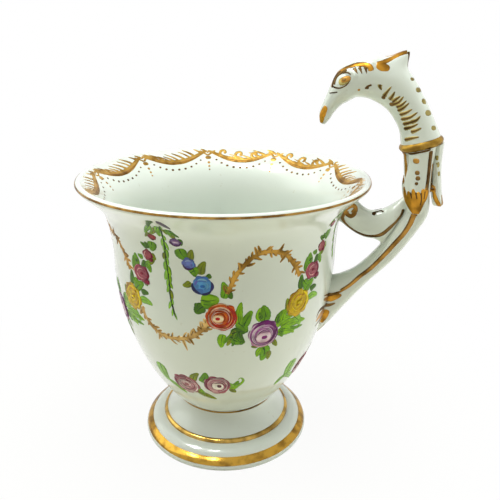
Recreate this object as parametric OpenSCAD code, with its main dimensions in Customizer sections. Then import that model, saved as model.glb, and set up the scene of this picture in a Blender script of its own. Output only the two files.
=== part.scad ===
// Footed porcelain cup with a bird's-head handle, gilded at lip, waist and foot
// Millimetres, +Z up, origin in the middle of the foot's resting plane, handle towards +X

/* [Bowl] */
// Diameter over the lip
rim_d = 80; // [74:0.5:88]
// Height of the lip above the table
rim_z = 80.8; // [76:0.2:88]
// Diameter of the upright wall below the flare
belly_d = 62.9; // [58:0.1:66]
// Height at which the wall stands upright
belly_z = 58; // [54:0.5:62]
// Diameter of the waist, where the bowl sits on the foot
waist_d = 30.4; // [26:0.2:36]
// Height of the waist
waist_z = 12.9; // [11:0.1:16]
// Thickness of the wall and the floor
wall = 2.2; // [1.6:0.1:3]
// Thickness of the lip
lip_t = 1.8; // [1.2:0.1:2.4]
// Angle at which the flare ends, measured from level
lip_slope = 43; // [30:1:55]
// Length over which the flare runs straight to the lip
lip_run = 7.4; // [5:0.1:9]

/* [Foot] */
// Diameter of the foot at the table
base_d = 51; // [46:0.2:58]
// Diameter of the step between the hollow and the cushion
step_d = 38.2; // [34:0.2:43]
// Height of that step
step_z = 5.6; // [4.8:0.1:7]
// Height of the foot's outer edge
edge_z = 3.3; // [2.6:0.1:4.2]
// Width of the ring that rests on the table
foot_ring_w = 4.4; // [3:0.1:6]
// Depth of the recess under the foot
recess_h = 6.4; // [4:0.1:8]

/* [Gilding] */
// Thickness of the fired gilding
gilt_t = 0.12; // [0.08:0.01:0.3]
// Height of the gilt line at the waist
waist_line_h = 0.5; // [0.3:0.1:1]

/* [Handle stem] */
// How far the stem's knee stands out from the upright wall
stem_reach = 21; // [18:0.2:24]
// How far the knee lies below the lip
knee_drop = 7.6; // [5:0.2:10]
// Width of the stem, seen from the side
stem_w = 5.5; // [4.5:0.1:7]
// Width of the stem at the knee, under the leaves
knee_w = 6.2; // [5:0.1:7.5]
// Depth of the stem, front to back
stem_d = 5.6; // [4.5:0.1:7]
// How far the middle of the stem's seat on the bowl lies below the lip
stem_seat_drop = 37.7; // [35:0.2:40]
// Height of that seat
stem_seat_h = 18.8; // [14:0.2:22]
// Depth of that seat, front to back
stem_seat_d = 8.4; // [6:0.1:10]

/* [Handle scroll] */
// How far the scroll's lowest point lies out from the upright wall
scroll_out = 9.8; // [8.6:0.1:11]
// How far the scroll's lower edge lies below the lip
scroll_drop = 16.3; // [15:0.1:17.5]
// Width of the scroll, seen from the side
scroll_w = 7.9; // [6.5:0.1:9]
// Depth of the scroll, front to back
scroll_d = 5.2; // [4:0.1:6.5]
// How far the middle of the scroll's seat on the bowl lies below the lip
scroll_seat_drop = 8.4; // [7.8:0.1:9.2]
// Height of that seat
scroll_seat_h = 6.8; // [5:0.1:8]
// Radius of the volute's raised eye
volute_r = 1.4; // [0.8:0.1:2]
// Height of the volute's raised eye
volute_h = 0.5; // [0.2:0.1:0.8]

/* [Collar and leaves] */
// How far the middle of the collar stands out from the upright wall
collar_out = 20.2; // [18:0.2:23]
// Height of the middle of the collar above the lip
collar_up = 10.1; // [9:0.2:13]
// Lean of the collar towards the cup, in degrees
collar_lean = 16; // [8:1:24]
// Width of the collar, seen from the side
collar_w = 11.2; // [10:0.1:13]
// Depth of the collar, front to back
collar_d = 9.8; // [9:0.1:12]
// Height of the collar
collar_h = 2; // [1.4:0.1:3]
// Thickness of a leaf at its midrib
leaf_t = 1.4; // [0.8:0.1:1.8]
// Length of the two side leaves
side_leaf_len = 17.5; // [12:0.5:19]
// Length of the outer leaf
outer_leaf_len = 15; // [10:0.5:18]
// Length of the inner leaf, above the scroll
inner_leaf_len = 10.6; // [6:0.2:11]
// How far the tip of the outer leaf curls away from the stem
leaf_curl = 2.2; // [0.5:0.1:4]

/* [Bird] */
// How far the beak reaches back from the collar towards the cup
bird_reach = 25.2; // [22:0.2:27]
// Height of the head's middle line above the collar
bird_rise = 14.9; // [13:0.2:18]
// Width of the neck, seen from the side
neck_w = 9.3; // [8:0.1:10]
// Depth of the neck, front to back
neck_d = 8.4; // [7:0.1:9]
// Height of the head from throat to crown
head_h = 11; // [9.5:0.1:12.5]
// Depth of the head, cheek to cheek
head_d = 9; // [7.5:0.1:11]
// Width of the beak at half its length
beak_w = 4.4; // [3.4:0.1:5.5]
// How far the crest stands up behind the crown
crest_h = 4; // [2:0.1:5.5]
// Radius of the raised eye
eye_r = 1.5; // [1:0.1:2]
// Height of the raised eye and brow
eye_h = 0.5; // [0.2:0.1:0.8]

/* [Hidden] */

PORCELAIN = [0.93, 0.94, 0.93];
GILT = [0.80, 0.60, 0.24];
// Slip joint left between luted members
seat_gap = 0.08;
// Facets round the cup, and steps along each profile curve
$fn = 96;
curve_steps = 14;
lip_steps = 12;
// Points round a handle member, and rings along each member
sides = 24;
stem_rings = 34;
scroll_rings = 22;
bird_rings = 60;
collar_rings = 8;
// A section's squareness: 2 is an ellipse
round_section = 2.2;
// Cells across half a leaf, and along it
leaf_across = 5;
leaf_along = 12;

rim_r = rim_d / 2;
belly_r = belly_d / 2;
waist_r = waist_d / 2;
base_r = base_d / 2;
step_r = step_d / 2;
lip_r = lip_t / 2;

// Curves

function mix(a, b, t) = a * (1 - t) + b * t;
function unit(v) = v / norm(v);
function bezier(p, t) =
    pow(1 - t, 3) * p[0] + 3 * pow(1 - t, 2) * t * p[1] + 3 * (1 - t) * t * t * p[2] + pow(t, 3) * p[3];
function curve(p) = [for (i = [0:curve_steps]) bezier(p, i / curve_steps)];
function reverse(p) = [for (i = [len(p) - 1:-1:0]) p[i]];
// Smooth path through every point of p, t from 0 to 1
function path(p, t) =
    let (last = len(p) - 1, k = min(floor(t * last), last - 1), u = t * last - k)
    let (a = p[max(k - 1, 0)], b = p[k], c = p[k + 1], d = p[min(k + 2, last)])
    (2 * b + (c - a) * u + (2 * a - 5 * b + 4 * c - d) * u * u + (3 * b - a - 3 * c + d) * u * u * u) / 2;
// Points moved sideways from a profile, to its left, by the distances in list by
function beside(p, by) =
    [for (i = [0:len(p) - 1])
        let (t = unit(p[min(i + 1, len(p) - 1)] - p[max(i - 1, 0)])) p[i] + by[i] * [-t[1], t[0]]];

// Bowl profile: radius and height, from the waist up to the lip

lip_along = [cos(lip_slope), sin(lip_slope)];
lip_across = [-lip_along[1], lip_along[0]];
lip_mid = [rim_r - lip_r, rim_z - lip_r];
lip_start = lip_mid - lip_r * lip_across;
belly = [belly_r, belly_z];
bowl_low = curve([[waist_r, waist_z],
                  [mix(waist_r, belly_r, 0.28), mix(waist_z, belly_z, 0.093)],
                  [belly_r, mix(waist_z, belly_z, 0.48)], belly]);
bowl_high = curve([belly, [belly_r, mix(belly_z, rim_z, 0.7)], lip_start - lip_run * lip_along, lip_start]);
bowl_out = concat(bowl_low, [for (i = [1:curve_steps]) bowl_high[i]]);
bowl_thick = [for (i = [0:len(bowl_out) - 1]) mix(wall, lip_t, pow(i / (len(bowl_out) - 1), 3))];
bowl_in = beside(bowl_out, bowl_thick);
// The inside runs down the wall to this step of the curve and then rounds into the floor
floor_step = 3;
floor_z = waist_z + wall;
floor_end = bowl_in[floor_step];
floor_way = unit(bowl_in[floor_step + 1] - floor_end);
bowl_floor = curve([[0, floor_z], [floor_end[0] / 2, floor_z],
                    floor_end - floor_way * (floor_end[1] - floor_z), floor_end]);
bowl_inside = concat(bowl_floor, [for (i = [floor_step + 1:len(bowl_in) - 1]) bowl_in[i]]);
// Height and radius pairs, to find the wall at any height
bowl_wall = [for (p = bowl_out) [p[1], p[0]]];

// Point of the round lip, a from -90 on the outside to 90 on the inside, standing off by proud
function lip_point(a, proud) = lip_mid + (lip_r + proud) * (cos(a) * lip_along + sin(a) * lip_across);
function lip_arc(from, to, proud) = [for (i = [from:to]) lip_point(180 * i / lip_steps - 90, proud)];

// Foot profile, from the waist down to the table

step_w = 0.9;
edge_w = 2.2;
edge_fall = 1.7;
heel_r = 0.5;
step_top = [step_r - step_w / 2, step_z + step_w / 2];
step_low = [step_r + step_w / 2, step_z - step_w / 2];
edge_top = [base_r - edge_w, edge_z];
edge_low = [base_r - heel_r, edge_z - edge_fall];
heel_low = [base_r - heel_r, 0];
waist_low = [waist_r - waist_line_h / 4, waist_z - waist_line_h];
foot_waist = [[waist_r, waist_z], waist_low];
hollow_h = waist_low[1] - step_top[1];
hollow_w = step_top[0] - waist_low[0];
foot_hollow = curve([waist_low, waist_low - [hollow_w * 0.18, hollow_h * 0.35],
                     step_top + [-hollow_w * 0.78, hollow_h * 0.16], step_top]);
foot_step = curve([step_top, step_top + [step_w / 2, 0], step_low + [0, step_w / 2], step_low]);
cushion_w = edge_top[0] - step_low[0];
foot_cushion = curve([step_low, step_low + [cushion_w * 0.5, 0],
                      edge_top + [-cushion_w * 0.18, cushion_w * 0.22], edge_top]);
foot_edge = curve([edge_top, edge_top + [edge_w, -edge_fall] * 0.36,
                   edge_low + [-edge_w * 0.1, edge_fall * 0.47], edge_low]);
foot_heel = curve([edge_low, edge_low + [heel_r, -heel_r], heel_low + [heel_r, heel_r], heel_low]);
recess_r = base_r - heel_r - foot_ring_w;
foot_recess = curve([[recess_r, 0], [recess_r * 0.95, recess_h * 0.45], [recess_r * 0.5, recess_h],
                     [0, recess_h]]);

// Handle members: every ring runs from an inner edge to an outer edge, in the plane y = 0

function bulge(v, power) = sign(v) * pow(abs(v), 2 / power);
// Ring point at turn a: a = 0 is the outer edge, 90 the far side
function ring_point(inner, outer, half_d, a) =
    let (p = mix(inner, outer, 0.5 + bulge(cos(a), round_section) / 2))
    [p[0], half_d * bulge(sin(a), round_section), p[1]];
function ring(inner, outer, half_d) =
    [for (i = [0:sides - 1]) ring_point(inner, outer, half_d, 360 * i / sides)];
// A ring laid on the bowl's wall between two heights
function wall_x(y, z) = sqrt(pow(lookup(z, bowl_wall) + seat_gap, 2) - y * y);
function seat_ring(mid_z, h, d, size) =
    [for (i = [0:sides - 1])
        let (a = 360 * i / sides, y = size * d / 2 * bulge(sin(a), round_section))
        let (z = mid_z - size * h / 2 * bulge(cos(a), round_section)) [wall_x(y, z), y, z]];
function seat(mid_z, h, d) = [for (size = [1, 0.72, 0.44, 0.16]) seat_ring(mid_z, h, d, size)];

// Height of a rounded boss of radius r at a point of the handle's plane
function hump(at, mid, r) = exp(-pow(norm(at - mid) / r, 2));

// Closed solid through a list of rings, from the lowest ring up
module skin(rings) {
    count = len(rings[0]);
    last = len(rings) - 1;
    points = [for (r = rings) each r];
    walls = [for (k = [0:last - 1], i = [0:count - 1])
        let (j = (i + 1) % count, a = k * count, b = a + count)
        each [[a + i, b + i, b + j], [a + i, b + j, a + j]]];
    first_cap = [for (i = [0:count - 1]) i];
    last_cap = [for (i = [count - 1:-1:0]) last * count + i];
    polyhedron(points, concat(walls, [first_cap, last_cap]));
}

// Collar frame: its middle, its axis up the neck and its line from inner to outer edge
collar_mid = [belly_r + collar_out, rim_z + collar_up];
collar_axis = [-sin(collar_lean), cos(collar_lean)];
collar_line = [cos(collar_lean), sin(collar_lean)];
collar_low = collar_mid - collar_axis * collar_h / 2;
collar_top = collar_mid + collar_axis * collar_h / 2;

// Turn of the stem that a leaf covers, to either side of its midrib
side_leaf_wrap = 66;
outer_leaf_wrap = 34;
inner_leaf_wrap = 22;
// Turn by which a side leaf's tip swings towards the scroll
side_leaf_turn = 24;
// How far a side leaf's edge over the scroll flares
side_leaf_flare = 0.9;
// Share of a leaf's thickness that is left along its edges and at its tip
leaf_edge = 0.5;
leaf_tip = 0.45;
function leaf_thick(u, v) = leaf_t * mix(1, leaf_edge, u * u) * mix(1, leaf_tip, pow(v, 4));
// The outer leaf lies over the edges of the side leaves
outer_leaf_lift = leaf_thick((90 - outer_leaf_wrap) / side_leaf_wrap, 0) + seat_gap;

// Stem stations from the collar down to the bowl: inner x, z, outer x, z and half depth
knee = [belly_r + stem_reach, rim_z - knee_drop];
seat_mid = [belly_r, rim_z - stem_seat_drop];
function tilted(mid, tilt, w, d) =
    let (arm = [cos(tilt), sin(tilt)] * w / 2, i = mid - arm, o = mid + arm) [i[0], i[1], o[0], o[1], d / 2];
function stem_at(out, up) = [mix(seat_mid[0], knee[0], out), mix(seat_mid[1], knee[1], up)];
stem_stations = [
    tilted(collar_low, collar_lean, collar_w - 2 * (leaf_t + outer_leaf_lift), collar_d - 2 * leaf_t),
    tilted(mix(collar_low, knee, 0.28), collar_lean / 3, stem_w, stem_d * 1.1),
    tilted(mix(collar_low, knee, 0.64), -5, mix(stem_w, knee_w, 0.4), stem_d * 1.1),
    tilted(knee, -7, knee_w, stem_d * 1.1),
    tilted(stem_at(0.9, 0.84), -9, knee_w, stem_d * 1.05),
    tilted(stem_at(0.665, 0.575), -30, stem_w, stem_d),
    tilted(stem_at(0.38, 0.35), -52, stem_w, stem_d),
    tilted(stem_at(0.125, 0.17), -82, mix(stem_w, stem_seat_h, 0.34), mix(stem_d, stem_seat_d, 0.6))];
function stem_ring_at(t) =
    let (s = path(stem_stations, t)) [[s[0], s[1]], [s[2], s[3]], s[4]];
function stem_inner(t) = stem_ring_at(t)[0];

module handle_stem() {
    color(PORCELAIN)
        skin(reverse(concat(
            [for (k = [0:stem_rings]) let (s = stem_ring_at(k / stem_rings)) ring(s[0], s[1], s[2])],
            seat(seat_mid[1], stem_seat_h, stem_seat_d))));
}

// Scroll: upper and lower edges, along the stem first and then round to the bowl
scroll_from = 0.33;
scroll_fork = 0.685;
// The scroll starts thin, under the tips of the side leaves, and has its full depth from this share of its run
scroll_root_d = 0.36;
scroll_full = 0.24;
scroll_low = [belly_r + scroll_out, rim_z - scroll_drop];
scroll_dip = scroll_low + [-0.4, scroll_w];
scroll_seat_z = rim_z - scroll_seat_drop;
scroll_seat_top = [lookup(scroll_seat_z + scroll_seat_h / 2, bowl_wall), scroll_seat_z + scroll_seat_h / 2];
scroll_seat_low = [lookup(scroll_seat_z - scroll_seat_h / 2, bowl_wall), scroll_seat_z - scroll_seat_h / 2];
// Edge of the stem that the scroll lies on, with the slip joint between
function fork_edge(t) = stem_inner(t) - [seat_gap * 2, 0];
// Quarter turns: level at the end, or level at the start
function settle(a, b, t) = [mix(a[0], b[0], t), mix(a[1], b[1], sin(90 * t))];
function lift(a, b, t) = [mix(a[0], b[0], t), mix(a[1], b[1], 1 - cos(90 * t))];
scroll_root = fork_edge(scroll_from);
function scroll_upper(t) =
    t < 0.5 ? settle(scroll_root, scroll_dip, 2 * t) : lift(scroll_dip, scroll_seat_top, 2 * t - 1);
function scroll_lower(t) =
    t < 0.3 ? fork_edge(mix(scroll_from + 0.07, scroll_fork, t / 0.3))
    : t < 0.5 ? settle(fork_edge(scroll_fork), scroll_low, (t - 0.3) / 0.2)
    : lift(scroll_low, scroll_seat_low, 2 * t - 1);

// Raised eye of the volute on both faces of the scroll, close to the bowl
volute_mid = mix(mix(scroll_seat_top, scroll_seat_low, 0.5), mix(scroll_dip, scroll_low, 0.5), 0.3);
function scroll_depth(t) = scroll_d * mix(scroll_root_d, 1, 0.5 - 0.5 * cos(180 * min(1, t / scroll_full)));
function scroll_ring(t) =
    [for (p = ring(scroll_upper(t), scroll_lower(t), scroll_depth(t) / 2))
        p + [0, sign(p[1]) * volute_h * hump([p[0], p[2]], volute_mid, volute_r), 0]];

module handle_scroll() {
    color(PORCELAIN)
        skin(reverse(concat([for (k = [0:scroll_rings - 1]) scroll_ring(k / scroll_rings)],
                            seat(scroll_seat_z, scroll_seat_h, scroll_d))));
}

// Leaves: patches laid on the stem below the collar; side is the turn round the stem of the midrib
stem_len = norm(knee - collar_low) / (3 / 7);
function leaf_width(v) = sqrt(max(0, 1 - pow(v, 5))) * (1 - 0.1 * sin(180 * v));
function leaf_point(side, len, wrap, turn, lift, u, v, proud) =
    let (s = stem_ring_at(v * len / stem_len), a = side + turn * v * v + u * wrap * leaf_width(v))
    let (p = ring_point(s[0], s[1], s[2], a), m = mix(s[0], s[1], 0.5))
    p + unit([p[0] - m[0], p[1], p[2] - m[1]]) * (seat_gap + lift + proud);
// turn swings the tip round the stem and flares the edge on that side; curl swells the tip, solid behind
function leaf_flare(turn, u, v) = side_leaf_flare * pow(max(0, u * sign(turn)), 2) * pow(sin(180 * pow(v, 1.6)), 2);
module leaf(side, len, wrap, turn = 0, lift = 0, curl = 0) {
    color(PORCELAIN)
        skin([for (k = [leaf_along:-1:0])
            let (v = 0.98 * k / leaf_along)
            concat([for (i = [-leaf_across:leaf_across])
                        let (u = i / leaf_across, face = leaf_thick(u, v) + leaf_flare(turn, u, v) + curl * pow(v, 3))
                        leaf_point(side, len, wrap, turn, lift, u, v, face)],
                   [for (i = [leaf_across:-1:-leaf_across])
                        leaf_point(side, len, wrap, turn, lift, i / leaf_across, v, 0)])]);
}
module leaf_near_side() { leaf(270, side_leaf_len, side_leaf_wrap, -side_leaf_turn); }
module leaf_far_side() { leaf(90, side_leaf_len, side_leaf_wrap, side_leaf_turn); }
module leaf_outer() { leaf(0, outer_leaf_len, outer_leaf_wrap, 0, outer_leaf_lift, leaf_curl); }
module leaf_inner() { leaf(180, inner_leaf_len, inner_leaf_wrap); }

// Collar: a rounded ring of the handle between the leaves and the neck
module neck_collar() {
    color(GILT)
        skin([for (k = [0:collar_rings])
            let (t = k / collar_rings, mid = mix(collar_low, collar_top, t))
            let (swell = 0.9 + 0.1 * sin(180 * t), arm = collar_line * swell * collar_w / 2)
            ring(mid - arm, mid + arm, swell * collar_d / 2)]);
}

// Bird: its middle line climbs from the collar by shares of its reach and rise
function bird_at(reach, rise) = collar_top + [-reach * bird_reach, rise * bird_rise];
bird_stations = [
    tilted(collar_top, collar_lean, neck_w * 1.08, neck_d * 1.08),
    tilted(bird_at(0.05, 0.24), 9, neck_w, neck_d),
    tilted(bird_at(0.18, 0.59), 18, neck_w * 1.04, neck_d),
    tilted(bird_at(0.36, 0.89), 38, head_h * 1.03, mix(neck_d, head_d, 0.7)),
    tilted(bird_at(0.534, 1.007), 57, head_h * 1.05, head_d),
    tilted(bird_at(0.625, 1.016), 69, head_h * 1.06, head_d),
    tilted(bird_at(0.754, 0.93), 87, head_h * 0.91, head_d * 0.92),
    tilted(bird_at(0.845, 0.82), 100, head_h * 0.76, head_d * 0.78),
    tilted(bird_at(0.93, 0.555), 121, beak_w * 1.06, beak_w),
    tilted(bird_at(0.98, 0.36), 146, beak_w * 0.74, beak_w * 0.7),
    tilted(bird_at(0.997, 0.24), 160, beak_w * 0.38, beak_w * 0.4)];
// Crest: a tuft that rises behind the crown and drops straight to the nape
crest_at = 0.35;
crest_nape = 0.025;
crest_crown = 0.03;
function crest(t) = crest_h * exp(-pow(abs(t - crest_at) / (t < crest_at ? crest_nape : crest_crown), 1.6));
// Raised eye, and the brow that arches over it, on both cheeks
eye_mid = bird_at(0.805, 0.95);
brow_r = 1.9 * eye_r;
function brow(a) = eye_mid + brow_r * [-cos(a), sin(a)];
function relief(at) =
    eye_h * max(hump(at, eye_mid, eye_r), max([for (a = [10:20:150]) hump(at, brow(a), eye_r / 2)]));
function bird_ring(t) =
    let (s = path(bird_stations, t), inner = [s[0], s[1]], outer = [s[2], s[3]])
    let (mid = mix(inner, outer, 0.5), arm = outer - mid)
    [for (i = [0:sides - 1])
        let (a = 360 * i / sides, c = bulge(cos(a), round_section), n = bulge(sin(a), round_section))
        let (rise = crest(t) * pow(max(0, c), 3), p = mid + c * arm + rise * unit(arm))
        [p[0], n * (s[4] * (1 - rise / crest_h / 2) + relief(p)), p[1]]];
module bird_head() {
    color(PORCELAIN) skin([for (k = [0:bird_rings]) bird_ring(k / bird_rings)]);
}

// Bowl and foot: turned bodies

module bowl() {
    color(PORCELAIN)
        rotate_extrude()
            polygon(concat([[0, waist_z]], bowl_out, lip_arc(1, lip_steps - 1, 0), reverse(bowl_inside)));
}
module foot() {
    color(PORCELAIN)
        rotate_extrude()
            polygon(concat([[0, waist_z]], foot_waist, foot_hollow, foot_step, foot_cushion, foot_edge,
                           foot_heel, foot_recess));
}

// Gilding: thin skins fired on to the profile below them
module gilt_band(p) {
    color(GILT) rotate_extrude() polygon(concat(p, reverse(beside(p, [for (q = p) gilt_t]))));
}
module rim_gilding() {
    color(GILT)
        rotate_extrude()
            polygon(concat(lip_arc(3, lip_steps - 6, 0), reverse(lip_arc(3, lip_steps - 6, gilt_t))));
}
module waist_gilding() { gilt_band(foot_waist); }
module step_gilding() { gilt_band(foot_step); }
module foot_edge_gilding() { gilt_band(foot_edge); }

bowl();
foot();
handle_stem();
handle_scroll();
leaf_near_side();
leaf_far_side();
leaf_outer();
leaf_inner();
neck_collar();
bird_head();
rim_gilding();
waist_gilding();
step_gilding();
foot_edge_gilding();
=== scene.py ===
"""Footed porcelain cup with a bird's-head handle: smooth glazed pieces, painted enamels and fired gold."""

import math
import random

import bmesh
import bpy
import numpy as np
from mathutils import Matrix, Vector
from mathutils.bvhtree import BVHTree


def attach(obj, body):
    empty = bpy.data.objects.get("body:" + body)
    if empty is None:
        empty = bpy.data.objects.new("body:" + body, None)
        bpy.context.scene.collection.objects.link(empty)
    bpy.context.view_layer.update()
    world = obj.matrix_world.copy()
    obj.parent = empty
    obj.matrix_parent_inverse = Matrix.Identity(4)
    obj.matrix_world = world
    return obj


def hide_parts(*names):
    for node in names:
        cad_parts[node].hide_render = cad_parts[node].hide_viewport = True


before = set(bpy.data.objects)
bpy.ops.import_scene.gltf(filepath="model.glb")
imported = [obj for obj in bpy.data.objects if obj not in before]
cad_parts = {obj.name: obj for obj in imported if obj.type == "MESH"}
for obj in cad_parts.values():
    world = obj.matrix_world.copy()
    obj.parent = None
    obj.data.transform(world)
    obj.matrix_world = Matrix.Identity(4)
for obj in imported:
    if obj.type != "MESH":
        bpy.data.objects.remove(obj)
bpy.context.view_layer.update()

MM = 0.001
hand = random.Random(11)

# Sizes in millimetres. They are the part's own, but for a lower crest, a thinner lip line and the slip

RIM_R, RIM_Z = 40.0, 80.8
BELLY_R, BELLY_Z = 31.45, 58.0
WAIST_R, WAIST_Z = 15.2, 12.9
WALL, LIP_T = 2.2, 1.8
LIP_SLOPE, LIP_RUN = math.radians(43), 7.4
BASE_R, STEP_R, STEP_Z, EDGE_Z = 25.5, 19.1, 5.6, 3.3
FOOT_RING_W, RECESS_H = 4.4, 6.4
STEP_W, EDGE_W, EDGE_FALL, HEEL_R = 0.9, 2.2, 1.7, 0.5
GILT_T, LIP_GILT_T, WAIST_LINE_H = 0.12, 0.1, 0.5
# The lip's gold runs round its outer edge between these degrees
LIP_GILT = (-44, -12)

STEM_REACH, KNEE_DROP = 21.0, 7.6
STEM_W, KNEE_W, STEM_D = 5.5, 6.2, 5.6
STEM_SEAT_DROP, STEM_SEAT_H, STEM_SEAT_D = 37.7, 18.8, 8.4
SCROLL_OUT, SCROLL_DROP, SCROLL_W, SCROLL_D = 9.8, 16.3, 7.9, 5.2
SCROLL_SEAT_DROP, SCROLL_SEAT_H = 8.4, 6.8
VOLUTE_R, VOLUTE_H = 1.4, 0.5
SCROLL_FROM, SCROLL_FORK = 0.33, 0.685
SCROLL_ROOT_D, SCROLL_FULL = 0.36, 0.24
# Shares of the scroll's length: its lower edge leaves the stem, its lowest point, its seat starts
SCROLL_LEAVES, SCROLL_LOWEST, SCROLL_SEAT_FROM = 0.3, 0.5, 20 / 22
# The scroll's lower edge starts this much further down the stem than its upper edge, the dip of its upper
# edge lies this much further in than its lowest point, and its volute at this share of the way to there
SCROLL_LOWER_BY, SCROLL_DIP_IN, VOLUTE_AT = 0.07, 0.4, 0.3
COLLAR_OUT, COLLAR_UP, COLLAR_LEAN = 20.2, 10.1, 16.0
COLLAR_W, COLLAR_D, COLLAR_H, COLLAR_SWELL = 11.2, 9.8, 2.0, 0.1
LEAF_T, LEAF_EDGE, LEAF_TIP = 1.4, 0.5, 0.45
SIDE_LEAF_LEN, OUTER_LEAF_LEN, INNER_LEAF_LEN, LEAF_CURL = 17.5, 15.0, 10.6, 2.2
SIDE_LEAF_WRAP, OUTER_LEAF_WRAP, INNER_LEAF_WRAP = 66.0, 34.0, 22.0
SIDE_LEAF_TURN, SIDE_LEAF_FLARE, SIDE_LEAF_FLARE_AT = 24.0, 0.9, 1.6
# A leaf's outline: how blunt its end is, how much its middle draws in, and the share of it that is made
LEAF_BLUNT, LEAF_DRAWN_IN, LEAF_END = 5, 0.1, 0.98
# The leaf's thickness rounds off over the last part of its length
LEAF_ROUND_FROM, LEAF_ROUND = 0.9, 60
BIRD_REACH, BIRD_RISE = 25.2, 14.9
NECK_W, NECK_D, HEAD_H, HEAD_D = 9.3, 8.4, 11.0, 9.0
BEAK_W, BEAK_TIP, CREST_H = 4.4, 0.4, 3.86
EYE_R, EYE_H = 1.5, 0.5
# The eye's place as shares of the bird's reach and rise, and its brow: radius in eyes, and degrees round
EYE_AT, BROW_OUT, BROW_TURNS = (0.805, 0.95), 1.9, range(10, 151, 5)
CREST_AT, CREST_NAPE, CREST_CROWN, CREST_POINT = 0.35, 0.025, 0.03, 1.8
SEAT_GAP = 0.08
# The slip joints are closed here: members sink a little into what carries them
SEAT_SINK, LEAF_SINK, FORK_SINK = 0.06, 0.1, 0.35
# The seat's upper side is hollow and its lower side full
SEAT_HOLLOW, SEAT_FULL = 0.15, 0.07
# A bead of slip rounds the crotch between stem and scroll, which is looked for on these stretches of the two
SLIP_R, SLIP_BEAD_R = 0.9, 1.4
SLIP_ON_STEM, SLIP_ON_SCROLL = (0.5, 0.9), (SCROLL_LEAVES, 0.4)
ROUND_SECTION = 2.2
# Pulls of the profile's curves, as shares of their reach. The foot's hollow is a little fuller and steeper
# than the solid's
BOWL_LOW_PULL, BOWL_UP_PULL, LIP_PULL = (0.28, 0.093), 0.48, 0.7
HOLLOW_TOP, HOLLOW_LOW = (0.1, 0.35), (-0.45, 0.3)
CUSHION_TOP, CUSHION_LOW = 0.5, (-0.18, 0.22)
EDGE_TOP, EDGE_LOW = 0.36, (-0.1, 0.47)
RECESS_LOW, RECESS_TOP = (0.95, 0.45), 0.5
# The inside's floor starts at this share of the lower bowl's curve
FLOOR_FROM = 3 / 14

# Fineness of the meshes
TURNS, CURVE_STEPS, SIDES = 256, 56, 72
LIP_STEPS, SEAT_RINGS, SLIP_RINGS, SLIP_SEARCH = 24, 14, 25, 200
STEM_RINGS, SCROLL_RINGS, COLLAR_RINGS, BIRD_RINGS = 110, 90, 25, 300
LEAF_ACROSS, LEAF_ALONG, LEAF_CROWDING = 14, 44, 0.9
# Rings that close a seat inside the wall, by size, and the beak's tip, by degrees
SEAT_CLOSING, BEAK_CLOSING = (0.98, 0.5, 0.1), (30, 55, 75)
# Steps over which the way of an edge is measured: the inside's floor, the scroll and the stem
FLOOR_AHEAD, SCROLL_AHEAD, STEM_AHEAD = 4, 20, 8
# Edges steeper than this many degrees stay crisp, and points nearer than this many millimetres are one
CRISP, LEAF_CRISP, SAME_POINT = 50, 60, 1e-4


# Curves

def mix(a, b, t):
    return a * (1 - t) + b * t


def xy(x, y):
    return np.array([x, y], float)


def unit(v):
    return v / np.linalg.norm(v)


def bezier(points, t):
    a, b, c, d = points
    return (1 - t) ** 3 * a + 3 * (1 - t) ** 2 * t * b + 3 * (1 - t) * t * t * c + t ** 3 * d


def curve(*points):
    return [bezier([np.array(p, float) for p in points], i / CURVE_STEPS) for i in range(CURVE_STEPS + 1)]


def path(points, t):
    """Smooth path through every point, t from 0 to 1."""
    last = len(points) - 1
    k = min(int(t * last), last - 1)
    u = t * last - k
    a, b, c, d = points[max(k - 1, 0)], points[k], points[k + 1], points[min(k + 2, last)]
    return (2 * b + (c - a) * u + (2 * a - 5 * b + 4 * c - d) * u * u + (3 * b - a - 3 * c + d) * u ** 3) / 2


def beside(points, by):
    """Profile moved sideways, to its left."""
    points = np.array(points)
    along = np.gradient(points, axis=0)
    along /= np.linalg.norm(along, axis=1)[:, None]
    return points + np.asarray(by, float).reshape(-1, 1) * np.column_stack([-along[:, 1], along[:, 0]])


# Bowl and foot profiles: radius and height

lip_r = LIP_T / 2
lip_along = xy(math.cos(LIP_SLOPE), math.sin(LIP_SLOPE))
lip_across = xy(-lip_along[1], lip_along[0])
lip_mid = xy(RIM_R - lip_r, RIM_Z - lip_r)
lip_start = lip_mid - lip_r * lip_across
waist, belly = xy(WAIST_R, WAIST_Z), xy(BELLY_R, BELLY_Z)
bowl_low = curve(waist, mix(waist, belly, xy(*BOWL_LOW_PULL)),
                 (BELLY_R, mix(WAIST_Z, BELLY_Z, BOWL_UP_PULL)), belly)
bowl_high = curve(belly, (BELLY_R, mix(BELLY_Z, RIM_Z, LIP_PULL)), lip_start - LIP_RUN * lip_along, lip_start)
bowl_out = np.array(bowl_low + bowl_high[1:])
bowl_share = np.linspace(0, 1, len(bowl_out))
bowl_in = beside(bowl_out, mix(WALL, LIP_T, bowl_share ** 3))
floor_step = round(CURVE_STEPS * FLOOR_FROM)
floor_z = WAIST_Z + WALL
floor_end = bowl_in[floor_step]
floor_way = unit(bowl_in[floor_step + FLOOR_AHEAD] - floor_end)
bowl_floor = curve((0, floor_z), (floor_end[0] / 2, floor_z),
                   floor_end - floor_way * (floor_end[1] - floor_z), floor_end)
bowl_inside = np.array(bowl_floor + list(bowl_in[floor_step + 1:]))


def lip_arc(start, end, proud=0.0):
    """Round lip from start to end degrees: -90 lies on the outside, 90 on the inside."""
    turns = np.radians(np.linspace(start, end, LIP_STEPS))
    return [lip_mid + (lip_r + proud) * (math.cos(a) * lip_along + math.sin(a) * lip_across) for a in turns]


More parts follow.
